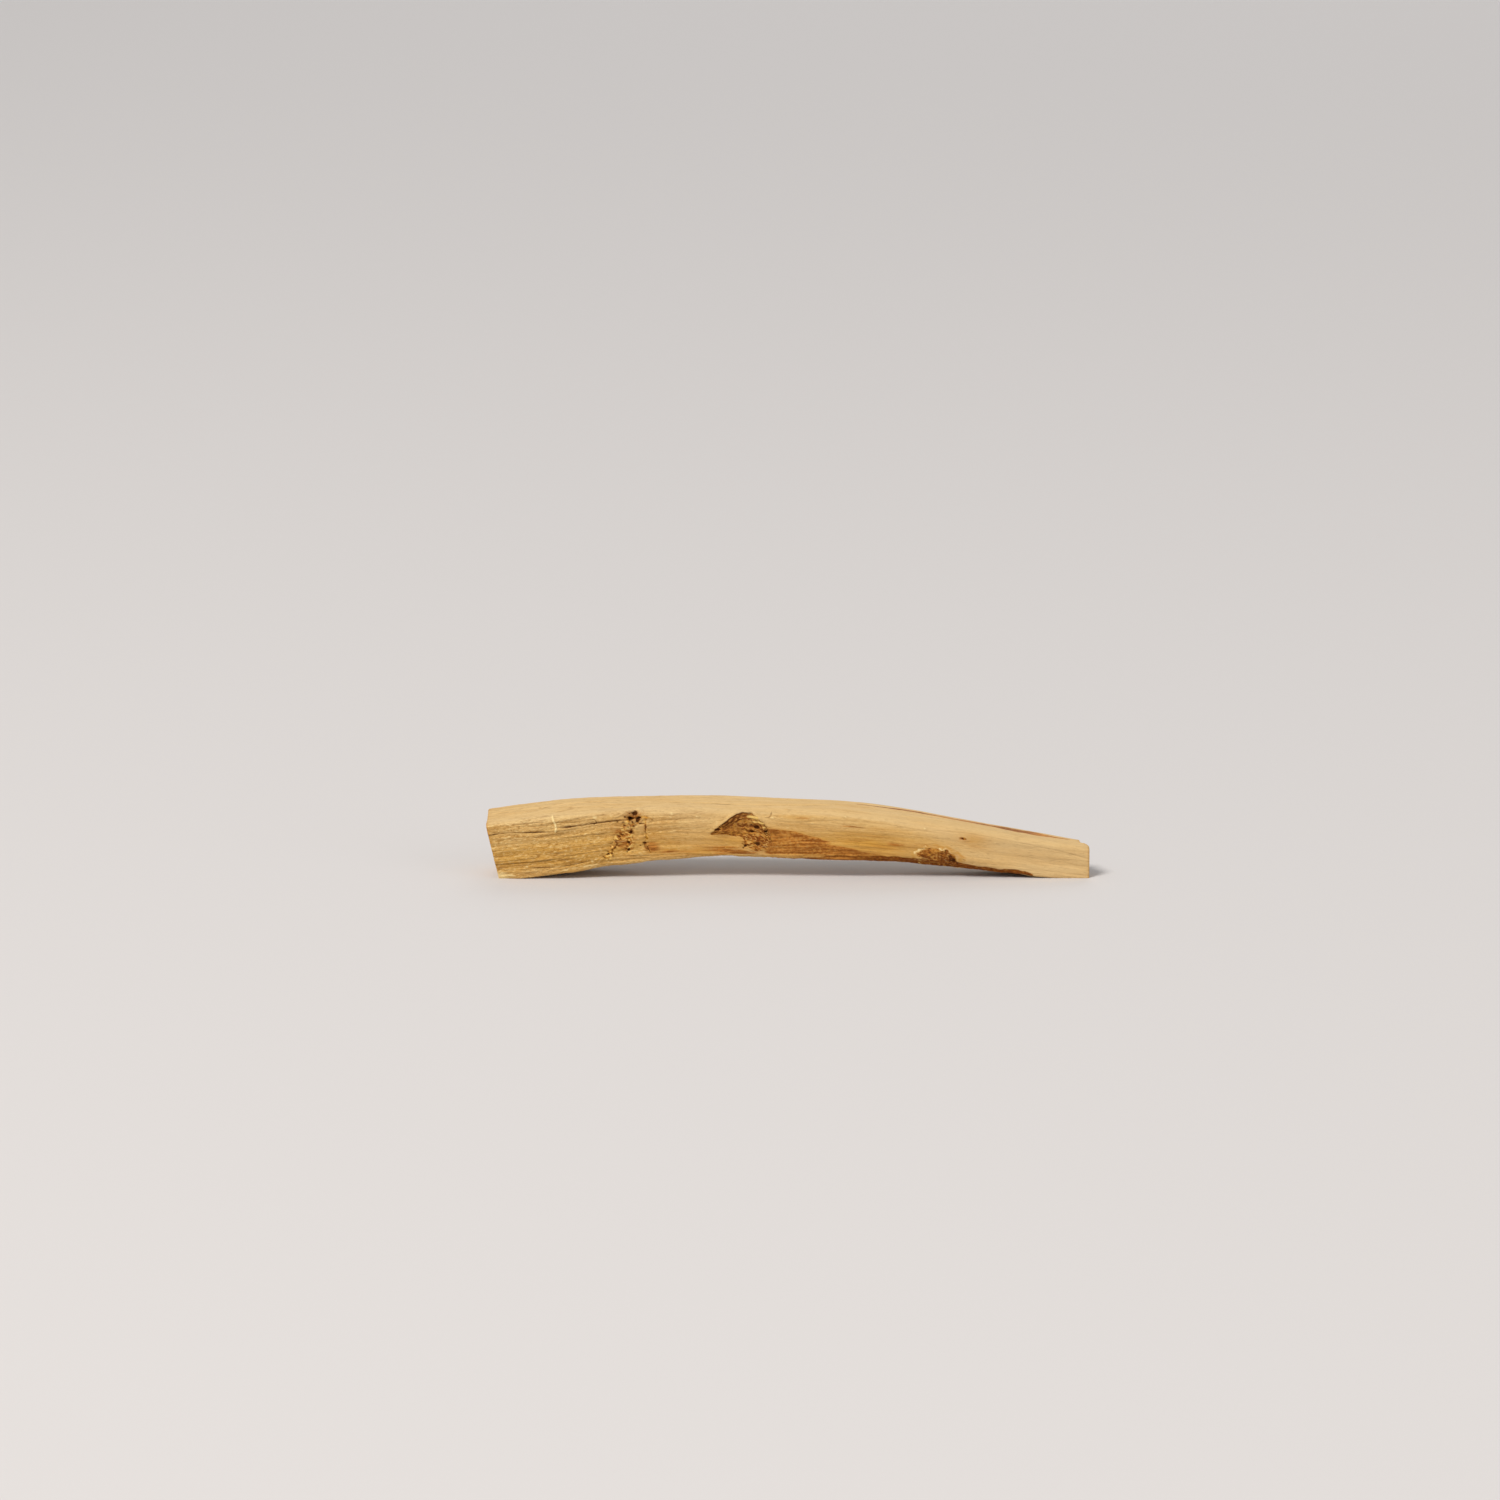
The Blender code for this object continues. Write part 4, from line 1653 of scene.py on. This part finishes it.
    def stain(self, skin: Skin) -> None:
        """Colours the skin: pale wood with painted light from above, resin round the scars, golden glows, and
        a dark strip of painted shade on the lower edge.

        Args:
            skin: the skin to mark.
        """
        straw_at = (
            (0.0, 0.18), (0.25, 0.36), (0.34, 0.52), (0.45, 0.40), (0.62, 0.36), (0.8, 0.8), (1.0, 1.1),
        )
        # The straw mark: paler towards the tip, partly the wood's own tone and partly painted light. Paler up
        # the front and on the top face, and least on the underside: painted light from above.
        front_paleness_and_light = through(straw_at, skin.along) + 0.3 * step(-0.2, 0.8, skin.up)
        pale = front_paleness_and_light * skin.side(Side.FRONT) + 0.95 * skin.side(Side.TOP)
        pale += 0.5 * skin.side(Side.BACK) + 0.35 * skin.side(Side.UNDER)
        skin.mark(Mark.STRAW, pale)
        zones = [
            Zone(22.0, -0.1, Mark.RESIN, 2.0, 2.8, 0.9, 0.55),
            Zone(24.1, 0.66, Mark.RESIN, 2.3, 1.2, 1.0, 0.45),
            Zone(24.3, 0.68, Mark.SCAR, 1.0, 0.8, 0.75, 0.2),
            Zone(24.3, 0.68, Mark.DEEP, 1.0, 0.8, 0.9, 0.2),
            Zone(21.5, 0.0, Mark.GOLD, 3.0, 3.2, 0.7, 0.4),
            Zone(26.4, -0.48, Mark.RESIN, 1.7, 1.0, 1.0, 0.3),
            Zone(77.3, 0.47, Mark.SCAR, 0.8, 0.3, 0.8, 0.3),
            Zone(29.5, -0.72, Mark.RESIN, 5.5, 0.7, 0.75, 0.7),
            Zone(34.0, -0.75, Mark.GOLD, 7.0, 1.7, 0.85, 0.35),
            Zone(71.5, -0.35, Mark.GOLD, 4.0, 1.5, 0.8, 0.3),
            Zone(37.6, -0.66, Mark.SCAR, 3.4, 0.22, 0.9, 0.45),
            # A dark band along the lowest front here: painted shade.
            Zone(37.0, -0.95, Mark.SCAR, 6.0, 0.45, 0.6, 0.6),
            Zone(59.3, 0.40, Mark.RESIN, 2.7, 0.15, 0.75, 0.3),
            Zone(51.5, 0.63, Mark.RESIN, 1.6, 0.14, 0.85, 0.2),
            Zone(26.6, -0.1, Mark.GOLD, 2.6, 2.2, 0.75),
            Zone(29.0, -0.6, Mark.GOLD, 5.0, 1.5, 0.85),
            Zone(38.5, -0.5, Mark.GOLD, 6.5, 1.7, 0.85, 0.3),
            Zone(38.8, -0.84, Mark.RESIN, 5.0, 0.8, 1.0, 0.8),
            Zone(57.0, 0.15, Mark.GOLD, 11.0, 1.1, 0.5),
            Zone(62.0, -0.35, Mark.GOLD, 9.0, 2.0, 0.85, 0.3),
            Zone(66.8, -0.2, Mark.RESIN, 3.0, 0.7, 0.8, 0.6),
            Zone(79.0, 0.42, Mark.GOLD, 2.8, 1.2, 0.75, 0.3),
            Zone(77.7, 0.12, Mark.PALE, 0.9, 0.5, 0.35, 0.2),
            Zone(6.0, -0.5, Mark.GOLD, 12.0, 2.5, 0.35),
            Zone(30.0, 0.1, Mark.RESIN, 7.0, 0.8, 0.45, 0.9, side=Side.BACK),
            Zone(64.0, -0.4, Mark.RESIN, 9.0, 0.9, 0.5, 0.9, side=Side.BACK),
            Zone(50.0, 0.0, Mark.GOLD, 16.0, 2.0, 0.5, 0.6, side=Side.UNDER),
            Zone(48.0, -0.7, Mark.RESIN, 9.0, 1.6, 0.7, 0.8, side=Side.UNDER),
        ]
        for zone in zones:
            zone.stain(skin)
        self.resin_streak(skin)

    def resin_streak(self, skin: Skin) -> None:
        """The red-brown streak right of the big scar, under a falling upper line, thinning out to the right.

        Args:
            skin: the skin to mark.
        """
        line = ((43.0, 0.1), (49.2, 0.06), (51.6, -0.06), (54.3, -0.26), (60.0, -0.55), (68.0, -0.85))
        over = skin.above(through(line, np.clip(skin.run, line[0][0], line[-1][0])))
        streak = skin.grained(7.0, 0.5, 41, 3)
        under = 1.2 * (streak - 0.5) - over
        below = step(-0.3, 0.2, under)
        fading = plateau((43.8, 45.6), (64.0, 72.0), skin.run) * (1 - 0.7 * step(52.0, 64.0, skin.run))
        body = 0.6 + 0.6 * bell((under - 0.5) / 1.1) + 0.5 * (step(0.35, 0.6, streak) - 0.5)
        front = np.maximum(skin.side(Side.FRONT), lower_edge(skin.angle))
        skin.mark(Mark.RESIN, below * fading * body * front)
        skin.mark(Mark.SPECK, below * fading * 0.14 * front)
        skin.mark(Mark.DEEP, 0.7 * front * fading * bell((under - 0.4) / 0.4) * step(45.2, 46.2, skin.run))
        self.painted_shade_strip(skin)
        glow = step(-1.4, 0.4, under) * plateau((43.0, 46.0), (66.0, 78.0), skin.run)
        skin.mark(Mark.GOLD, 0.8 * glow * skin.side(Side.FRONT))

    def painted_shade_strip(self, skin: Skin) -> None:
        """Painted shade on the downward chamfer: the dark strip under the front's lower edge, below a ragged
        lip, until the flake near the tip.

        Args:
            skin: the skin to mark.
        """
        line = (
            (40.0, -0.98), (50.0, -0.96), (56.0, -0.80), (60.6, -0.76), (64.0, -0.74), (70.2, -0.68),
            (76.3, -0.66), (84.0, -0.74), (88.0, -0.84), (89.0, -0.94),
        )
        ragged = skin.grained(1.8, 9.0, 61, 3) - 0.5
        over = skin.above(through(line, np.clip(skin.run, line[0][0], line[-1][0])))
        lower_quarter = plateau((190.0, 200.0), (250.0, 266.0), np.degrees(skin.angle))
        strip = step(-0.06, 0.08, 0.7 * ragged - over) * lower_quarter * within(44.0, 88.9, 0.5, skin.run)
        skin.relief -= 0.12 * strip
        # Resin, scar and deep browns over the strip stand in for the chamfer's shade.
        skin.mark(Mark.RESIN, strip * step(44.0, 58.0, skin.run))
        skin.mark(Mark.SCAR, strip * (0.25 + 0.6 * step(56.0, 72.0, skin.run)) * step(46.0, 54.0, skin.run))
        skin.mark(Mark.DEEP, strip * (0.3 + 0.6 * step(50.0, 66.0, skin.run)))

    def wear_and_painted_light(self, skin: Skin) -> None:
        """Pale scuffs and painted highlights on the long edges, a strip of bark, golden end rims, a nick and
        a chipped corner.

        Args:
            skin: the skin to mark.
        """
        turn = np.abs(np.gradient(np.unwrap(np.arctan2(*self.normals(skin)[::-1]), axis=1), axis=1))
        edge = step(0.06, 0.22, turn)
        patchy = step(0.45, 0.62, skin.grained(4.0, 2.0, 23, 3))
        # Long edges: pale where worn, and painted as highlights.
        skin.mark(Mark.PALE, edge * patchy * 0.3)
        skin.relief -= 0.06 * edge * patchy
        # A thin painted highlight along the lower front edge near the butt.
        light = bell((skin.angle - math.radians(221)) / 0.03) * within(0.2, 18.0, 1.5, skin.run)
        skin.mark(Mark.PALE, light * (0.1 + 0.5 * patchy))

        from_ridge = (skin.angle - math.radians(71)) * skin.half_across(Side.TOP)
        ragged = skin.grained(5.0, 0.8, 71, 3) - 0.5
        half_width = 0.3 * within(60.0, 97.5, 6.0, skin.run) + 1.1 * ragged
        bark = step(-0.1, 0.15, half_width - np.abs(from_ridge))
        skin.mark(Mark.RESIN, bark * within(60.0, 97.5, 2.0, skin.run))

        rim = bell((skin.form.length - skin.run) / 0.35) + bell(skin.run / 0.3) * step(0.2, 0.5, skin.up)
        skin.mark(Mark.GOLD, rim * (0.4 + 0.6 * patchy))
        skin.mark(Mark.RESIN, rim * 0.45 * patchy)

        across = skin.run - self.nick_run - 0.12 * np.sin(2.5 * skin.rise)
        tall = skin.side(Side.FRONT) * within(*self.nick_heights, 0.08, skin.up)
        nick = bell(across / 0.15) * tall
        skin.relief += 0.12 * nick - 0.08 * bell((across + 0.34) / 0.16) * tall
        # The raised nick is pale, partly painted as a highlight.
        skin.mark(Mark.PALE, nick)
        # A painted shadow beside the nick.
        skin.mark(Mark.BLACK_AND_PAINTED_SHADE, 0.3 * bell((across + 0.32) / 0.12) * tall)
        # A painted highlight where the nick meets the top edge.
        top = skin.side(Side.FRONT) * bell((skin.run - 10.7) / 0.7) * bell((skin.up - 0.93) / 0.03)
        skin.mark(Mark.PALE, 0.8 * top)

        chip = bell((skin.run - 0.6) / 1.5) * bell((skin.angle - math.radians(222)) / 0.16)
        skin.relief -= 0.35 * chip
        skin.mark(Mark.PALE, 0.6 * chip)

    def normals(self, skin: Skin) -> tuple[Array, Array]:
        """The plain ring's outward normal, as its part towards the back and its part upwards.

        The normal is the ring's tangent, a central difference round the ring, turned by a quarter.

        Args:
            skin: the skin whose rings are read.

        Returns:
            Both parts, each with the grid's shape.
        """
        depth_step = np.roll(skin.depth, -1, axis=1) - np.roll(skin.depth, 1, axis=1)
        rise_step = np.roll(skin.rise, -1, axis=1) - np.roll(skin.rise, 1, axis=1)
        size = np.hypot(depth_step, rise_step)
        return rise_step / size, -depth_step / size

    def place(self, skin: Skin) -> Array:
        """Places of the side's points, in millimetres.

        The plain ring moves out radially by the broad relief and along its normal by the carved relief, less
        the worn end edge, a quarter circle. Then the rings shear to lie between the leaning butt and the tip.

        Args:
            skin: the carved skin.

        Returns:
            An array of rings by points by three.
        """
        form = self.form
        broad = form.broad_relief(skin.along, skin.angle, skin.up, skin.back)
        from_end = np.minimum(skin.run, form.length - skin.run)
        inside = np.clip(self.worn_radius - from_end, 0.0, self.worn_radius)
        worn = self.worn_radius - np.sqrt(self.worn_radius**2 - inside**2)
        normal_back, normal_up = self.normals(skin)
        fine = skin.relief - worn
        y = skin.depth + broad * np.cos(skin.angle) + fine * normal_back
        y += through(form.sideways_at, skin.along)
        z = form.middle_height(skin.along) + skin.rise + broad * np.sin(skin.angle) + fine * normal_up
        half_depth = form.half_depth(skin.along)
        behind = y + half_depth
        butt = math.tan(form.butt_skew) * behind - math.tan(form.butt_lean) * z
        tip = form.length - form.tip_step * step(0.1, 0.5, behind / (2 * half_depth))
        return np.stack([butt + skin.along * (tip - butt), y, z], axis=-1)

    def cap(self, skin: Skin, side: Array, row: int) -> tuple[Array, Array, Array, Array]:
        """The inside of one sawn end: rings that shrink from the rim to its middle, and the middle point.

        Args:
            skin: the carved skin.
            side: places of the side's points.
            row: 0 for the butt and -1 for the tip.

        Returns:
            Places, grain places, and the field and shade of the cracks' lines.
        """
        rim = side[row]
        share = np.linspace(1.0, 0.0, self.cap_rings + 1)[1:-1, None, None]
        centre = rim.mean(axis=0)
        rings = (centre + share * (rim - centre)).reshape(-1, 3)
        points = np.concatenate([rings, centre[None]])
        along = np.full(len(points), float(row != 0))
        depth = points[:, 1] - through(self.form.sideways_at, along)
        rise = points[:, 2] - self.form.middle_height(along)
        shares = np.concatenate([np.repeat(share.reshape(-1), len(rim)), [0.0]])
        outward = -1.0 if row == 0 else 1.0
        start = self.end_start + row
        points[:, 0] += outward * self.end.relief(depth, rise, shares, start, skin.noise)
        grain = np.stack([along * self.form.length, depth, rise], axis=-1)
        away, reach = self.end.crack_field(depth, rise, start, skin.noise)
        shade = self.crack_shade * reach * step(0.0, 0.1, 1 - shares)
        return points, grain, np.clip(away / LINE_REACH, -1.0, 1.0), shade

    def mesh(self, points: Array, along: Array) -> Mesh:
        """Joins the points by faces and unwraps them.

        Args:
            points: every point's place, in metres: the side, the butt's end, the tip's end.
            along: share of the length of each ring point.

        Returns:
            The mesh, closed and facing outwards.
        """
        rows, columns = along.shape
        here = np.arange(rows * columns).reshape(rows, columns)
        after = np.roll(here, -1, axis=1)
        quads = [np.stack([here[:-1], after[:-1], after[1:], here[1:]], axis=-1).reshape(-1, 4)]
        triangles = []
        inner_count = (self.cap_rings - 1) * columns
        start = rows * columns
        for row in (0, -1):
            inner = np.arange(start, start + inner_count).reshape(self.cap_rings - 1, columns)
            rings = np.concatenate([here[row][None], inner])
            turned = np.roll(rings, -1, axis=1)
            band = np.stack([rings[:-1], rings[1:], turned[1:], turned[:-1]], axis=-1).reshape(-1, 4)
            pole = np.full(columns, start + inner_count)
            fan = np.stack([rings[-1], pole, turned[-1]], axis=-1)
            quads.append(band if row == 0 else band[:, ::-1])
            triangles.append(fan if row == 0 else fan[:, ::-1])
            start += inner_count + 1
        quads = np.concatenate(quads)
        triangles = np.concatenate(triangles)
        corners = np.concatenate([quads.reshape(-1), triangles.reshape(-1)])
        sizes = np.concatenate([np.full(len(quads), 4), np.full(len(triangles), 3)])
        mesh = bpy.data.meshes.new("palo_santo_stick")
        mesh.vertices.add(len(points))
        mesh.vertices.foreach_set("co", points.astype(np.float32).reshape(-1))
        mesh.loops.add(len(corners))
        mesh.loops.foreach_set("vertex_index", corners.astype(np.int32))
        mesh.polygons.add(len(sizes))
        mesh.polygons.foreach_set("loop_start", (np.cumsum(sizes) - sizes).astype(np.int32))
        mesh.polygons.foreach_set("loop_total", sizes.astype(np.int32))
        mesh.update(calc_edges=True)
        mesh.shade_smooth()
        flat = self.unwrap(points, along[:, 0], columns, corners[4 * (rows - 1) * columns:])
        mesh.uv_layers.new(name=self.map_name).data.foreach_set("uv", flat.astype(np.float32).reshape(-1))
        return mesh

    def unwrap(self, points: Array, shares: Array, columns: int, end_corners: Array) -> Array:
        """Flat places of every face corner: the side as two strips, one over the other, and the ends beside.

        Along a strip a ring stands at its share of the length, and across it its points are evenly spaced. An
        end keeps its shape.

        Args:
            points: every point's place, in metres.
            shares: each ring's share of the length.
            columns: points in a ring.
            end_corners: the points of the ends' face corners.

        Returns:
            An array of corners by two, from 0 to 1.
        """
        ring, point = np.meshgrid(np.arange(len(shares) - 1), np.arange(columns), indexing="ij")
        second = (ring >= np.searchsorted(shares, 0.5))[..., None].astype(float)
        share = shares[ring[..., None] + (0, 0, 1, 1)]
        around = (point[..., None] + (0, 1, 1, 0)) / columns
        strip_u = self.map_margin + self.strip_length * (2 * share - second)
        strip_v = self.map_margin + self.strip_width * around + 0.5 * second
        side = np.stack([strip_u, strip_v], axis=-1).reshape(-1, 2)
        places = points[end_corners] / MM
        at_tip = places[:, 0] > 0
        middle = np.where(at_tip[:, None], places[at_tip].mean(axis=0), places[~at_tip].mean(axis=0))
        centre = np.stack([np.full(len(places), self.end_u), 0.25 + 0.5 * at_tip], axis=-1)
        return np.concatenate([side, (places - middle)[:, 1:] / self.map_scale + centre])


@dataclass(frozen=True)
class Studio:
    """A pale floor, soft lights and the camera. Lengths are in metres.

    The camera stands as the photograph's does: a metre away, 12 degrees up, with the stick a little right of
    and below the middle of the picture.
    """

    elevation: float = math.radians(12.0)
    distance: float = 1.0
    focal_mm: float = 144.0
    aim: Pair = (-0.0063, 0.0203)
    floor_size: float = 14.0
    floor_color: Color = (0.65, 0.618, 0.602)
    sky_color: Color = (0.86, 0.88, 0.90)
    sky_strength: float = 0.46

    def build(self) -> None:
        """Makes the floor, the lights, the sky and the camera."""
        self.floor()
        self.sky()
        self.light("key", (-1.2, -1.35, 2.1), 0.9, 62.0, (1.0, 0.975, 0.94))
        self.light("fill", (2.0, -1.6, 0.9), 1.6, 10.0, (0.95, 0.97, 1.0))
        self.light("rim", (0.3, 2.4, 1.6), 1.6, 14.0, (1.0, 1.0, 1.0))
        self.camera()
        bpy.context.scene.view_settings.view_transform = "Standard"

    def floor(self) -> None:
        """A plain pale floor at the height the stick rests on."""
        half = self.floor_size / 2
        corners = [(-half, -half, 0.0), (half, -half, 0.0), (half, half, 0.0), (-half, half, 0.0)]
        mesh = bpy.data.meshes.new("floor")
        mesh.from_pydata(corners, [], [(0, 1, 2, 3)])
        material = bpy.data.materials.new("pale_floor")
        tree = NodeTree(material)
        sockets = {"Base Color": (*self.floor_color, 1.0), "Roughness": 0.9, "Specular IOR Level": 0.1}
        shader = tree.node("ShaderNodeBsdfPrincipled", {}, sockets)
        tree.node("ShaderNodeOutputMaterial", {}, {"Surface": shader.outputs["BSDF"]})
        add_object("floor", mesh, material)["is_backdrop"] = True

    def sky(self) -> None:
        """An even pale light from all round."""
        world = bpy.data.worlds.new("studio")
        bpy.context.scene.world = world
        world.use_nodes = True
        background = world.node_tree.nodes["Background"]
        background.inputs["Color"].default_value = (*self.sky_color, 1.0)
        background.inputs["Strength"].default_value = self.sky_strength

    def light(self, name: str, place: Color, size: float, power: float, color: Color) -> None:
        """A square soft light that looks at the stick.

        Args:
            name: the light's name.
            place: where it stands.
            size: the length of its side.
            power: its power in watts.
            color: its colour.
        """
        lamp = bpy.data.lights.new(name, "AREA")
        lamp.size = size
        lamp.energy = power
        lamp.color = color
        light = bpy.data.objects.new(name, lamp)
        light.location = place
        light.rotation_euler = (-Vector(place)).to_track_quat("-Z", "Y").to_euler()
        bpy.context.scene.collection.objects.link(light)

    def camera(self) -> None:
        """The camera, which looks along +Y and down by its elevation, at a point near the stick."""
        lens = bpy.data.cameras.new("camera")
        lens.lens = self.focal_mm
        lens.sensor_width = 36.0
        back = Vector((0.0, -math.cos(self.elevation), math.sin(self.elevation)))
        up = Vector((0.0, math.sin(self.elevation), math.cos(self.elevation)))
        aim = Vector((self.aim[0], 0.0, 0.0)) + up * self.aim[1]
        camera = bpy.data.objects.new("camera", lens)
        camera.location = aim + back * self.distance
        camera.rotation_euler = (-back).to_track_quat("-Z", "Y").to_euler()
        bpy.context.scene.collection.objects.link(camera)
        bpy.context.scene.camera = camera


def corners(bounds: tuple[Vector, Vector]) -> list[list[float]]:
    """A box as two plain lists of numbers."""
    return [list(corner) for corner in bounds]


def main() -> None:
    """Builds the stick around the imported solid, then the studio."""
    logging.basicConfig(level=logging.INFO, format="%(name)s: %(message)s")
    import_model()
    cad_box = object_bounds()
    stick, fibres = StickSkin().build(*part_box(CAD_NODE))
    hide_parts(CAD_NODE)
    for piece in (stick, fibres):
        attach(piece, BODY)
        log.info("%s has %d faces", piece.name, len(piece.data.polygons))
    Studio().build()
    {"cad": corners(cad_box), "visual": corners(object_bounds())}


if __name__ == "__main__":
    main()
